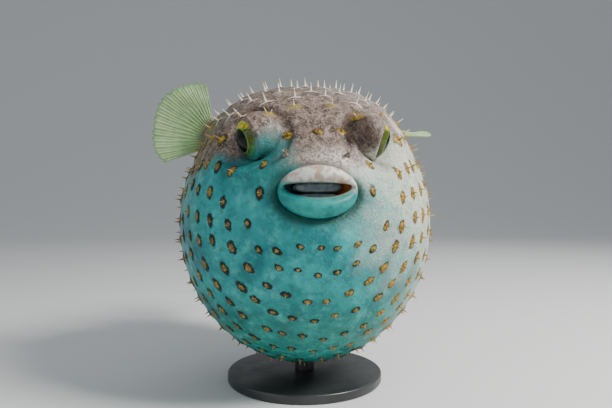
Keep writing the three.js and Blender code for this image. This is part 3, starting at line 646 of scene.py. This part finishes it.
class Finish:
    """A material being built. Each method adds one node, or a few, and gives its output."""

    def __init__(self, name, **constants):
        self.material = bpy.data.materials.new(name)
        self.material.use_nodes = True
        self.tree = self.material.node_tree
        self.shader = self.tree.nodes["Principled BSDF"]
        for key, value in constants.items():
            self.shader.inputs[key.replace("_", " ").title().replace("Ior", "IOR")].default_value = value
        self.place = self.tree.nodes.new("ShaderNodeTexCoord").outputs["Object"]

    def add(self, kind, inputs, output=0, **settings):
        """One node of a kind, with its inputs linked or set."""
        node = self.tree.nodes.new(kind)
        for key, value in settings.items():
            setattr(node, key, value)
        for key, value in inputs.items():
            if isinstance(value, bpy.types.NodeSocket):
                self.tree.links.new(value, node.inputs[key])
            else:
                node.inputs[key].default_value = value
        return node.outputs[output]

    def use(self, key, value):
        """Links a value to one of the shader's own inputs."""
        self.tree.links.new(value, self.shader.inputs[key])

    def maths(self, operation, a, b=0.0):
        return self.add("ShaderNodeMath", {0: a, 1: b}, operation=operation)

    def plus(self, a, b):
        return self.maths("ADD", a, b)

    def times(self, a, b):
        return self.maths("MULTIPLY", a, b)

    def from_middle(self, value, middle):
        """How far a value is from a middle one, either way."""
        return self.maths("ABSOLUTE", self.maths("SUBTRACT", value, middle))

    def blend(self, factor, a, b):
        """Colour a where the factor is 0 and b where it is 1."""
        return self.add("ShaderNodeMix", {0: factor, 6: a, 7: b}, 2, data_type="RGBA",
                        clamp_result=False)

    def ramp(self, value, start, end, low=0.0, high=1.0):
        """low at start and high at end, with an even curve between."""
        return self.add("ShaderNodeMapRange", {"Value": value, "From Min": start, "From Max": end,
                                               "To Min": low, "To Max": high},
                        interpolation_type="SMOOTHSTEP")

    def mottled(self, noise, first, second, start=0.3, end=0.7):
        """Two colours that turn from one to the other as a noise or field goes from start to end."""
        return self.blend(self.ramp(noise, start, end), shade(*first), shade(*second))

    def noise(self, millimetres, detail=2.0, rough=0.5, where=None):
        """Noise whose features are about this many millimetres across."""
        return self.add("ShaderNodeTexNoise", {"Vector": where or self.place,
                                               "Scale": 1000 / millimetres, "Detail": detail,
                                               "Roughness": rough})

    def cells(self, millimetres):
        """Distance from the nearest of points scattered about this many millimetres apart."""
        return self.add("ShaderNodeTexVoronoi", {"Vector": self.place, "Scale": 1000 / millimetres})

    def oval(self, x, half_x, y, half_y):
        """Radius in an oval of these half sizes: 0 in its middle and 1 at its edge."""
        return self.maths("SQRT", self.plus(self.maths("POWER", self.maths("DIVIDE", x, half_x), 2.0),
                                            self.maths("POWER", self.maths("DIVIDE", y, half_y), 2.0)))

    def split(self, vector):
        """The three numbers of a vector."""
        return self.add("ShaderNodeSeparateXYZ", {0: vector}).node.outputs

    def field(self, name):
        """The three numbers of a mesh's field."""
        return self.split(self.add("ShaderNodeAttribute", {}, "Vector", attribute_name=name))

    def bump(self, height, strength, distance):
        """Raises the surface by a height, for light only; distance is in millimetres."""
        normal = self.add("ShaderNodeBump", {"Height": height, "Strength": strength,
                                             "Distance": distance * MM})
        self.use("Normal", normal)


def belly_colour(f, flank, height, cloud, mottle, grain):
    """Cool teal, deeper underneath, mottled with pale and dark patches; the teal is painted light,
    the blue-green of water light on pale skin. The flank fades to pale skin and is dusted with
    white granules."""
    belly = f.blend(f.ramp(height, 0.085, 0.04), f.mottled(cloud, (12, 106, 111), (40, 149, 150)),
                    f.mottled(cloud, (8, 101, 93), (30, 135, 125)))
    belly = f.blend(f.ramp(f.noise(9, 5, 0.7), 0.46, 0.7, 0, 0.5), belly, shade(92, 184, 178))
    belly = f.blend(f.ramp(mottle, 0.46, 0.7, 0, 0.5), belly, shade(20, 88, 86))
    colour = f.blend(flank, belly, f.mottled(mottle, (150, 166, 156), (204, 204, 186)))
    dusted = f.ramp(f.plus(flank, f.times(cloud, 0.4)), 0.25, 0.85, 0.0, 0.65)
    return f.blend(f.times(grain, dusted), colour, shade(212, 220, 210))


def back_colour(f, mottle):
    """Grey-brown, with a net of pale veins and pale granules."""
    colour = f.mottled(mottle, (68, 56, 50), (126, 108, 98))
    vein = f.ramp(f.from_middle(f.noise(8, 2, 0.5), 0.5), 0.045, 0.0)
    colour = f.blend(f.times(vein, 0.36), colour, shade(176, 162, 150))
    granules = f.ramp(f.cells(1.6), 0.15, 0.45, 1, 0)
    return f.blend(f.times(granules, 0.3), colour, shade(196, 184, 170))


def lip_colour(f, height, side, mottle):
    """A cool lower lip and a pale upper one with brownish patches; the lower lip's teal is painted
    light, the blue-green of water light on pale skin. The border between them is higher on the
    fish's right."""
    upper = f.ramp(f.plus(height, f.times(side, 0.12)), 0.1250, 0.1310)
    return f.blend(upper, f.mottled(mottle, (14, 112, 110), (40, 142, 136)),
                   f.mottled(f.noise(4, 2), (208, 210, 204), (176, 152, 134), 0.4, 0.62))


def with_spots(f, colour, fine):
    """A ragged oval spot at each spine: golden in the middle and dark at its ends, more so where
    the mesh's field says dark. Where the field says star it is a narrow pale bar instead, a
    painted highlight."""
    across, along, dark = f.field("spot_place")
    gold, size, star = f.field("spot_mood")
    across, along = f.maths("DIVIDE", across, size), f.maths("DIVIDE", along, size)
    radius = f.oval(across, 4.7, along, f.ramp(star, 0.2, 0.8, 3.0, 0.9))
    radius = f.plus(radius, f.ramp(f.noise(2.2, 2), 0.25, 0.75, -0.16, 0.16))
    middle = f.oval(across, f.ramp(dark, 0.45, 1.0, 3.4, 1.9), along, f.ramp(dark, 0.45, 1.0, 2.3, 1.35))
    ragged = f.ramp(f.noise(1.5, 3, 0.65), 0.3, 0.7, -0.28, 0.28)
    ends = f.ramp(f.plus(middle, ragged), 0.65, 1.1)
    blotch = f.times(f.ramp(f.noise(2.6, 2, 0.6), 0.44, 0.6, 0, 0.8), f.ramp(dark, 0.6, 0.95))
    ends = f.times(f.maths("MAXIMUM", ends, blotch), f.ramp(dark, 0.0, 0.8))
    core = f.blend(gold, shade(132, 134, 84), f.mottled(fine, (104, 72, 4), (176, 140, 26), 0.35, 0.65))
    # The star's pale bar is a painted highlight.
    spot = f.blend(star, f.blend(ends, core, shade(16, 9, 2)), shade(226, 220, 210))
    strength = f.ramp(f.plus(dark, gold), 0.1, 0.9, 0.5, 0.96)
    return f.blend(f.times(f.ramp(radius, 1.05, 0.72), strength), colour, spot)


def skin_finish():
    """Damp skin: a cool pale belly, grey-brown back, granular muzzle and smooth lips, with a spot
    at each spine, and painted shade in furrows, creases, the gill slits, on the cheek and on the
    front of the left eye's turret."""
    f = Finish("skin_finish", roughness=0.42, specular_ior_level=0.2, coat_weight=0.03,
               coat_roughness=0.18)
    back, muzzle, lips = f.field("skin_tone")
    flank, painted_shade, inside = f.field("skin_shade")
    side, _, height = f.split(f.place)
    cloud, mottle, fine = f.noise(22, 3), f.noise(5, 3, 0.6), f.noise(1.3, 2, 0.6)
    grain = f.ramp(f.cells(1.15), 0.2, 0.5, 1, 0)
    colour = belly_colour(f, flank, height, cloud, mottle, grain)
    edge = f.plus(f.times(mottle, 0.35), f.times(fine, 0.3))
    colour = f.blend(f.ramp(f.plus(back, edge), 0.3, 1.15), colour, back_colour(f, mottle))
    colour = f.blend(muzzle, colour, f.mottled(fine, (126, 116, 110), (204, 196, 188), 0.35, 0.65))
    # Painted shade: dark teal, or dark brown where the back's colour is, laid where the shade field
    # says.
    shadow = f.blend(back, shade(22, 66, 58), shade(46, 34, 26))
    colour = with_spots(f, f.blend(f.times(painted_shade, 0.8), colour, shadow), fine)
    colour = f.blend(lips, colour, lip_colour(f, height, side, mottle))
    lining = f.blend(f.ramp(side, 0.004, 0.017), shade(52, 66, 68), shade(150, 92, 40))
    f.use("Base Color", f.blend(inside, colour, lining))
    pebbles = f.ramp(f.cells(2.1), 0.1, 0.75, 1, 0)
    relief = f.plus(f.plus(f.times(fine, 0.5), f.times(grain, 0.5)), f.times(pebbles, 0.6))
    smoother = f.maths("SUBTRACT", 1.0, f.times(lips, 0.8))
    f.bump(f.times(relief, smoother), 0.4, 0.5)
    f.use("Roughness", f.ramp(mottle, 0.3, 0.7, 0.36, 0.5))
    return f.material


def spine_finish():
    """Bony spines: brown and golden at the foot, and pale at the tip, less so in a dark spot."""
    f = Finish("spine_finish", roughness=0.4)
    height, dark, gold = f.field("spine_place")
    foot = f.mottled(gold, (226, 218, 196), (160, 118, 14))
    foot = f.blend(f.times(dark, 0.6), foot, shade(44, 30, 8))
    tip = f.mottled(f.noise(1.5), (204, 190, 150), (230, 222, 198))
    tip = f.blend(f.ramp(dark, 0.1, 0.6, 0, 0.9), tip, shade(120, 84, 28))
    f.use("Base Color", f.blend(f.ramp(height, 0.3, 0.9), foot, tip))
    f.bump(f.noise(0.8), 0.2, 0.2)
    return f.material


def fin_finish():
    """Thin green fins: yellowish rays with cross bands, clearer membrane, and a fleshy brownish
    foot."""
    f = Finish("fin_finish", roughness=0.45)
    _, out, ridge = f.field("fin_place")
    streak = f.noise(6, 3)
    rays = f.blend(f.ramp(out, 0.2, 0.9), shade(118, 124, 64), shade(192, 200, 146))
    colour = f.blend(f.times(ridge, 0.85), f.mottled(streak, (106, 152, 98), (136, 180, 126)), rays)
    bands = f.ramp(f.maths("SINE", f.times(out, 170.0)), 0.6, 1.0)
    colour = f.blend(f.times(f.times(bands, ridge), 0.35), colour, shade(120, 116, 74))
    f.use("Base Color", f.blend(f.ramp(out, 0.34, 0.12), colour, shade(88, 86, 48)))
    clear = f.times(f.ramp(out, 0.2, 0.6), f.ramp(ridge, 0.3, 0.0))
    f.use("Alpha", f.ramp(clear, 0, 1, 1, 0.62))
    f.bump(f.plus(ridge, f.times(streak, 0.3)), 0.3, 0.4)
    return f.material


def eye_finish():
    """A wet eye: dark pupil in a pale ring, fibrous golden green iris with a yellow patch on top
    and another colour underneath, green in the right eye and brown in the left, and a dark outer
    ring. Places are in millimetres from the eye's axis."""
    f = Finish("eye_finish", roughness=0.06, ior=1.14, coat_weight=0.3, coat_roughness=0.02)
    x, y, _ = f.field("eye_place")
    radius = f.maths("SQRT", f.plus(f.times(x, x), f.times(y, y)))
    bearing = f.maths("ARCTAN2", y, x)
    fibres = f.noise(1000, 3, 0.65, f.add("ShaderNodeCombineXYZ", {
        0: f.times(f.maths("SINE", bearing), 12.0), 1: f.times(f.maths("COSINE", bearing), 12.0),
        2: f.times(radius, 0.6)}))
    iris = f.mottled(fibres, (34, 52, 20), (88, 98, 30))
    top = f.ramp(f.plus(y, f.times(fibres, 3.0)), 6.2, 9.4)
    iris = f.blend(top, iris, f.mottled(fibres, (150, 140, 22), (212, 204, 70), 0.4, 0.6))
    low = f.ramp(f.maths("SUBTRACT", radius, f.times(y, 0.35)), 9.5, 12.0)
    left_side = f.ramp(f.split(f.place)[0], -0.01, 0.01)
    iris = f.blend(f.times(low, 0.75), iris, f.blend(left_side, shade(46, 128, 92), shade(74, 56, 22)))
    ring = f.ramp(f.from_middle(radius, 6.9), 0.45, 0.1)
    iris = f.blend(f.times(ring, 0.8), iris, shade(84, 132, 56))
    colour = f.blend(f.ramp(radius, 6.75, 6.45), iris, shade(2, 4, 8))
    f.use("Base Color", f.blend(f.ramp(radius, 10.2, 10.9), colour, shade(16, 34, 24)))
    return f.material


def tooth_finish():
    """Beak plates with a low polish and faint pits, painted dark blue-grey: painted shade of the
    mouth on what are pale plates.
    """
    f = Finish("tooth_finish", roughness=0.28, coat_weight=0.3)
    f.use("Base Color", f.mottled(f.noise(3, 3), (62, 80, 86), (98, 114, 114)))
    f.bump(f.noise(0.8), 0.15, 0.2)
    return f.material


def tentacle_finish():
    """Soft grey-brown flesh of two tones."""
    f = Finish("tentacle_finish", roughness=0.45)
    f.use("Base Color", f.mottled(f.noise(1.5), (92, 84, 74), (136, 124, 110)))
    return f.material


def stand_finish():
    """Satin black paint with the faint orange-peel of a sprayed coat."""
    f = Finish("stand_finish", roughness=0.4, coat_weight=0.15, coat_roughness=0.2)
    f.use("Base Color", f.mottled(f.noise(30, 3), (34, 35, 37), (46, 47, 49), 0.35, 0.65))
    f.bump(f.noise(0.9, 1), 0.12, 0.1)
    f.use("Roughness", f.ramp(f.noise(12, 3), 0.3, 0.7, 0.34, 0.46))
    return f.material


# ------------------------------------------------------------------ the skin

# How far borders between colours wander: each ripple's wavelength, seed and size.
WANDER = ((40, 5, 5), (16, 6, 2.5))
# Patches on the face, by their middles and how far they reach: the snout's own colouring;
# painted shade on the cheek; a painted shadow on the front of the left eye's turret, within a
# wider brown patch; a cool right turret; and brown under the left eye.
SNOUT = dict(x=7, z=34, half_wide=18, half_tall=7.2)
CHEEK_SHADE = dict(x=-24, z=35, stretch=1.1, reach=12)
SHADED_TURRET = dict(middle=(25, -76, 52), shadow=(7, 13), brown=(9, 16))
COOL_TURRET = dict(middle=(-23, -78, 46), reach=10)
UNDER_EYE = dict(middle=(38, -70, 36), reach=9)
FAR_OFF = 50.0                         # added to places in the mouth, so that no spot shows there


def gill_groove(points, side):
    """How deep each point lies in the gill slit before a pectoral fin (0 to 1), and the slit's
    inward way: a short upright crescent, bowed forwards, with soft edges."""
    way = unit(across_x(GILL["middle"], side))
    rel = points - on_ball(way)
    up = rel[:, 2] / GILL["half_tall"]
    forwards = -rel[:, 1] - GILL["bow"] * (1 - up * up)
    near = smooth(GILL["fade_far"], GILL["fade_near"], np.linalg.norm(rel, axis=-1))
    near = near * (np.sign(points[:, 0]) == side)
    return bell(forwards, GILL["wide"]) * smooth(1, 0.75, np.abs(up)) * near, way


def nearest(points, root):
    """The number of the spine nearest to each point, worked out a block at a time."""
    found = np.empty(len(points), int)
    for block in np.array_split(np.arange(len(points)), 24):
        found[block] = ((points[block][:, None] - root[None]) ** 2).sum(-1).argmin(1)
    return found


def raised_and_grooved(points, in_mouth, root, outward, back, across, moods):
    """The skin with a low mound under each spine, a bell curve both ways, and the gill slits."""
    own = nearest(points, root)
    rel = points - root[own]
    a, b = (rel * across[own]).sum(-1), (rel * back[own]).sum(-1)
    size = moods["size"][own]
    rise = np.exp(-(a / (MOUND["across"] * size)) ** 2 - (b / (MOUND["along"] * size)) ** 2)
    points = points + outward[own] * (MOUND["high"] * rise * ~in_mouth)[:, None]
    for side, _ in SIDES:
        groove, way = gill_groove(points, side)
        points = points - (GILL["depth"] * groove)[:, None] * way
    return points


def spot_fields(points, faces, in_mouth, root, back, across, moods):
    """For each corner of each face, its place across and along the spot of the spine nearest to
    the face, and that spine's moods, so that neighbouring spots never blend."""
    corner = np.concatenate([part.ravel() for part in faces])
    owner = np.concatenate([np.repeat(nearest(points[part].mean(1), root), part.shape[1])
                            for part in faces])
    rel = points[corner] - root[owner]
    far = np.where(in_mouth[corner], FAR_OFF, 0.0)
    place = stack((rel * across[owner]).sum(-1) + far, (rel * back[owner]).sum(-1) + far,
                  moods["dark"][owner])
    return place, stack(*(moods[mood][owner] for mood in ("gold", "size", "star")))


def skin_masks(points, ring_no, creases):
    """What the skin's finish reads at each point: how far it is the back's skin, the granular
    muzzle's and the lips'; then how pale the flank is, partly as painted light, how deep the
    painted shade is, and how far inside the mouth the point lies."""
    x, y, z = points.T
    soft = sum(size * ripples(points, waves, seed) for waves, seed, size in WANDER)

    # The back's colour starts higher on the fish's left, and a little lower on the forehead.
    leftwards = smooth(15, 60, x)
    forehead = smooth(-30, -70, y) * (1 - smooth(12, 36, np.abs(x)))
    back = smooth(mix(32, 52, leftwards), mix(50, 76, leftwards), z + soft + 8 * forehead)
    snout = np.exp(-((x - SNOUT["x"]) / SNOUT["half_wide"]) ** 2
                   - ((z - SNOUT["z"]) / SNOUT["half_tall"]) ** 2) * smooth(-60, -80, y)
    lips = smooth(0.1, 0.25, ring_no) * (1 - smooth(0.9, 1.004, ring_no))
    inside = 1 - smooth(0.0, 0.3, ring_no)
    # In front the flank pales from the fish's right to its left, and behind from below upwards:
    # partly the skin's own paler sides and partly painted light, the left side pale as if lit and
    # the right side and underside in the teal of painted shade.
    flank = mix(smooth(-12, 90, x + 0.8 * z + soft * 1.6), smooth(-62, 66, z + soft * 1.6),
                smooth(-70, 45, y))

    # Painted shade: round the lips and in their edge, on the cheek, in the creases behind the
    # turrets, as a painted shadow on the left eye's turret front, and in the gill slits.
    lower = smooth(34, 18, z)
    lip_ovals = np.hypot(x / LIP["half_wide"], (z - LIP["z"]) / LIP["half_tall"])
    face_side = smooth(-70, -85, y) * smooth(1.0, 1.01, ring_no)
    shade_depth = 0.45 * bell(lip_ovals - 1.15, 0.16) * face_side * mix(0.3, 1, lower)
    shade_depth = shade_depth + bell(ring_no - 1.002, 0.012) * mix(0.35, 1.0, lower)
    cheek_shade = bell(np.hypot((x - CHEEK_SHADE["x"]) / CHEEK_SHADE["stretch"], z - CHEEK_SHADE["z"]), CHEEK_SHADE["reach"])
    cheek_shade = cheek_shade * smooth(-50, -72, y)
    shade_depth = shade_depth + 0.75 * cheek_shade * (1 - lips)
    shade_depth = shade_depth + 0.7 * np.append(creases.ravel(), (0, 0))
    shaded_turret = np.linalg.norm(points - SHADED_TURRET["middle"], axis=-1)
    shade_depth = shade_depth + 0.75 * (1 - smooth(*SHADED_TURRET["shadow"], shaded_turret))
    shade_depth = shade_depth + sum(gill_groove(points, side)[0] for side, _ in SIDES)

    # The left eye's turret and the skin under it are brown, so that the painted shadow on the
    # turret's front is dark brown. The right one's front and the cheek below it are cool, so that
    # the cheek's painted shade is dark teal.
    back = np.maximum(back, 1 - smooth(*SHADED_TURRET["brown"], shaded_turret))
    cool_turret = np.linalg.norm(points - COOL_TURRET["middle"], axis=-1)
    back = back * (1 - 0.8 * bell(cool_turret, COOL_TURRET["reach"]))
    back = back * (1 - 0.9 * cheek_shade)
    under_eye = np.linalg.norm(points - UNDER_EYE["middle"], axis=-1)
    back = np.maximum(back, 0.5 * bell(under_eye, UNDER_EYE["reach"]))
    muzzle = np.clip(snout * 1.2, 0, 1) * smooth(1, 1.02, ring_no)
    return (stack(np.clip(back, 0, 1), muzzle, lips),
            stack(flank, np.clip(shade_depth, 0, 1), inside))


def skin_piece(root, outward, back, across, moods):
    """The whole skin, with a low mound under each spine, and what its finish needs to know."""
    rings, ring_place = body_rings()
    start = CAVITY_RINGS + LIP_RINGS
    creases = np.zeros(rings.shape[:2])
    for side, _ in SIDES:
        rings[start:], crease = eye_sculpted(rings[start:], side)
        creases[start:] += crease
    throat = rings[0].mean(0) + (0, 2, 0)
    tail_tip = np.array((0, TAIL["to_y"] + TAIL["cap"] - COAT_DEPTH, TAIL["to_z"]))
    points, faces = closed_rings(rings, throat, tail_tip)
    ring_no = np.append(np.repeat(ring_place, AROUND), (-1.0, 2.0))
    in_mouth = ring_no < 1
    points = raised_and_grooved(points, in_mouth, root, outward, back, across, moods)
    spot_place, spot_mood = spot_fields(points, faces, in_mouth, root, back, across, moods)
    tone, shadow = skin_masks(points, ring_no, creases)
    piece = piece_mesh("skin", points, faces, [
        ("skin_tone", "POINT", tone), ("skin_shade", "POINT", shadow),
        ("spot_place", "CORNER", spot_place), ("spot_mood", "CORNER", spot_mood)])
    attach(piece, "root")
    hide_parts("head", "back", "belly", "tail_stalk", "lip_upper", "lip_lower")
    return piece


# ------------------------------------------------------------------ eyes, teeth, tentacles and stand

def eyeball_piece(side, word):
    """An eyeball: an ellipse turned about the way that the eye looks."""
    theta = np.linspace(180, 0, EYE_RINGS) * DEG
    profile = stack(EYEBALL * np.sin(theta), EYE_DOME * np.cos(theta))
    points, faces, own = turned(profile, eyeball_centre(side), eye_axis(side), EYE_AROUND)
    eye = piece_mesh("eyeball_" + word, points, faces, [("eye_place", "POINT", own)])
    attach(eye, "root")
    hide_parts("eye_" + word)
    return eye


def tooth_piece(word, low, high):
    """A beak plate: a rounded upright section carried along a shallow arc, closed at both ends."""
    u = np.sin(np.linspace(-90, 90, TOOTH_RINGS)[1:-1] * DEG)[:, None]
    turn = (np.arange(TOOTH_AROUND) / TOOTH_AROUND * 2 * np.pi)[None]
    end = np.sqrt(1 - u ** 4)
    half_thick, half_tall = TOOTH["thick"] / 2 * end, (high - low) / 2 * end
    square = (np.abs(np.cos(turn)) ** 4 + np.abs(np.sin(turn)) ** 4) ** -0.25
    rings = stack(TOOTH["half_wide"] * u, TOOTH["front"] + TOOTH["thick"] / 2 + TOOTH["bow"] * u * u
                  - half_thick * square * np.sin(turn),
                  (low + high) / 2 + half_tall * square * np.cos(turn))
    tips = [(side * 1.002 * TOOTH["half_wide"], TOOTH["front"] + TOOTH["thick"] / 2 + TOOTH["bow"],
             (low + high) / 2) for side, _ in SIDES]
    plate = piece_mesh("tooth_looks_" + word, *closed_rings(rings, *tips))
    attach(plate, "root")
    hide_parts("tooth_plate_" + word)
    return plate


def tentacle_piece(side, word):
    """A nasal tentacle: a short turned stalk with a wide foot, a waist and a cupped rim."""
    way = unit(across_x(NOSTRIL["towards"], side))
    foot, waist, rim, length = (NOSTRIL[key] for key in ("foot", "waist", "rim", "length"))
    profile = [(0, -0.8), (foot, 0.0), (foot * 0.85, 0.5), (waist, 1.4), (waist, 2.4), (rim, length),
               (rim * 0.8, length + 0.25), (rim * 0.45, length - 0.3), (0, length - 0.6)]
    axis = way + (0, 0, NOSTRIL["lean_up"])
    points, faces, _ = turned(profile, on_ball(way), axis, NOSTRIL_AROUND)
    tentacle = piece_mesh("nasal_tentacle_" + word, points, faces)
    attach(tentacle, "root")
    return tentacle


def stand_profiles():
    """The node and profile of the stand's base, a disc with rounded edges, and of its short rod."""
    bend = np.linspace(0, 90, EDGE_STEPS) * DEG
    edge, flat, above = STAND["edge"], STAND["radius"] - STAND["edge"], STAND["thick"] - STAND["edge"]
    base = np.concatenate([
        [(0, 0)], stack(flat + edge * np.sin(bend), edge - edge * np.cos(bend)),
        stack(flat + edge * np.cos(bend), above + edge * np.sin(bend)), [(0, STAND["thick"])]])
    foot, top, radius = STAND["rod_foot"], STAND["rod_top"], STAND["rod_radius"]
    return {"stand_base": base, "stand_rod": [(0, foot), (radius, foot), (radius, top), (0, top)]}


def stand_piece(node, profile):
    """A turned part of the stand, sharp at its corners."""
    points, faces, _ = turned(profile, (0, 0, -BALL_Z), (0, 0, 1), STAND_AROUND)
    part = piece_mesh(node + "_looks", points, faces)
    part.data.set_sharp_from_angle(angle=40 * DEG)
    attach(part, "root")
    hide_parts(node)
    return part


# ------------------------------------------------------------------ the fish and its stand

rng = np.random.default_rng(PLACE_SEED)
places = spine_rows()
places = places[~bare(places, on_ball(direction(places[:, 0], places[:, 1])))]
girth = np.sin(places[:, :1])
places = places + rng.normal(0, PLACE_SCATTER, places.shape) * np.append(girth * 0 + 1, 1 / girth, 1)
frames = spine_frames(places)
moods = spine_moods(places, frames[0], rng)
unwrap = 0.5 + UNWRAP_REACH * (places[:, :1] / np.pi) * stack(np.sin(places[:, 1]), np.cos(places[:, 1]))

skin_piece(*frames, moods).data.materials.append(skin_finish())

bone = spine_finish()
high = frames[0][:, 2] > 0
for name, chosen in (("spines_upper", high), ("spines_lower", ~high)):
    spines_piece(name, chosen, *frames, moods, unwrap).data.materials.append(bone)

fin_skin = fin_finish()
for name, fin in FINS.items():
    fin_piece(name, fin).data.materials.append(fin_skin)

wet = eye_finish()
for side, word in SIDES:
    eyeball_piece(side, word).data.materials.append(wet)

enamel = tooth_finish()
half_gap = TOOTH["gap"] / 2
for word, low, high in (
        ("upper", TOOTH["bite"] + half_gap, TOOTH["bite"] + half_gap + TOOTH["tall"]),
        ("lower", TOOTH["bite"] - half_gap - TOOTH["tall"], TOOTH["bite"] - half_gap)):
    tooth_piece(word, low, high).data.materials.append(enamel)

flesh = tentacle_finish()
for side, word in SIDES:
    tentacle_piece(side, word).data.materials.append(flesh)

steel = stand_finish()
for node, profile in stand_profiles().items():
    stand_piece(node, profile).data.materials.append(steel)

# ------------------------------------------------------------------ room, light and camera

# The camera stands a little to the fish's right of its nose and above the ball's middle.
VIEW_TURN, VIEW_DISTANCE, VIEW_HEIGHT = -4.5 * DEG, 363.0, BALL_Z + 12.4
VIEW_YAW = 0.16 * DEG
FOCAL_PIXELS, FRAME_PIXELS = 530.0, 612.0
FLOOR = dict(half_wide=6000, front=-3500, level=5000, sweep=3000, steps=60)
SENSOR = 36
# Lamps by name: place in metres, power in watts, width in metres and colour.
LAMPS = {"key": ((0.7, -0.42, 0.8), 20, 0.3, (1, 0.97, 0.93)),
         "fill": ((-0.9, -0.7, 0.3), 3.2, 0.9, (0.9, 0.98, 1)),
         "back": ((0.5, 0.8, 0.9), 2, 0.7, (1, 1, 1))}
LAMPS_AIM = (0, 0, 0.11)
SKY_COLOUR, SKY_STRENGTH = (0.9, 0.95, 1, 1), 0.4


def pale_floor():
    """A level floor that sweeps up behind in a quarter circle."""
    steps = FLOOR["steps"]
    across = np.linspace(-FLOOR["half_wide"], FLOOR["half_wide"], 3)[:, None]
    along = np.linspace(0, 1, steps)[None]
    bend = np.clip(along * 2 - 1, 0, 1) * np.pi / 2
    y = FLOOR["front"] + np.minimum(along * 2, 1) * FLOOR["level"] + FLOOR["sweep"] * np.sin(bend)
    grid = stack(across, y, -BALL_Z + FLOOR["sweep"] * (1 - np.cos(bend)))
    a = np.arange(2)[:, None] * steps + np.arange(steps - 1)[None]
    faces = stack(a, a + steps, a + steps + 1, a + 1).reshape(-1, 4)
    floor = piece_mesh("floor", grid.reshape(-1, 3), [faces])
    paint = bpy.data.materials.new("floor_paint")
    paint.use_nodes = True
    shader = paint.node_tree.nodes["Principled BSDF"]
    shader.inputs["Base Color"].default_value = (0.72, 0.73, 0.73, 1)
    shader.inputs["Roughness"].default_value = 0.8
    floor.data.materials.append(paint)


def soft_lamp(name, place, power, width, colour):
    """A square lamp that faces the fish."""
    light = bpy.data.lights.new(name, "AREA")
    light.energy, light.size, light.color = power, width, colour
    holder = bpy.data.objects.new(name, light)
    holder.location = place
    holder.rotation_euler = (Vector(LAMPS_AIM) - Vector(place)).to_track_quat("-Z", "Y").to_euler()
    bpy.context.scene.collection.objects.link(holder)


def daylight():
    """An even pale light from all sides."""
    world = bpy.data.worlds.new("studio")
    bpy.context.scene.world = world
    world.use_nodes = True
    background = world.node_tree.nodes["Background"]
    background.inputs[0].default_value = SKY_COLOUR
    background.inputs[1].default_value = SKY_STRENGTH


def camera_in_front():
    """A level camera with the lens that gives the frame its width in pixels."""
    lens = bpy.data.cameras.new("camera")
    lens.sensor_width = SENSOR
    lens.lens = SENSOR * FOCAL_PIXELS / FRAME_PIXELS
    lens.clip_start = 0.01
    camera = bpy.data.objects.new("camera", lens)
    camera.location = Vector((np.sin(VIEW_TURN) * VIEW_DISTANCE, -np.cos(VIEW_TURN) * VIEW_DISTANCE,
                              VIEW_HEIGHT)) * MM
    camera.rotation_euler = (90 * DEG, 0, VIEW_TURN - VIEW_YAW)
    bpy.context.scene.collection.objects.link(camera)
    bpy.context.scene.camera = camera


pale_floor()
for name, lamp in LAMPS.items():
    soft_lamp(name, *lamp)
daylight()
camera_in_front()
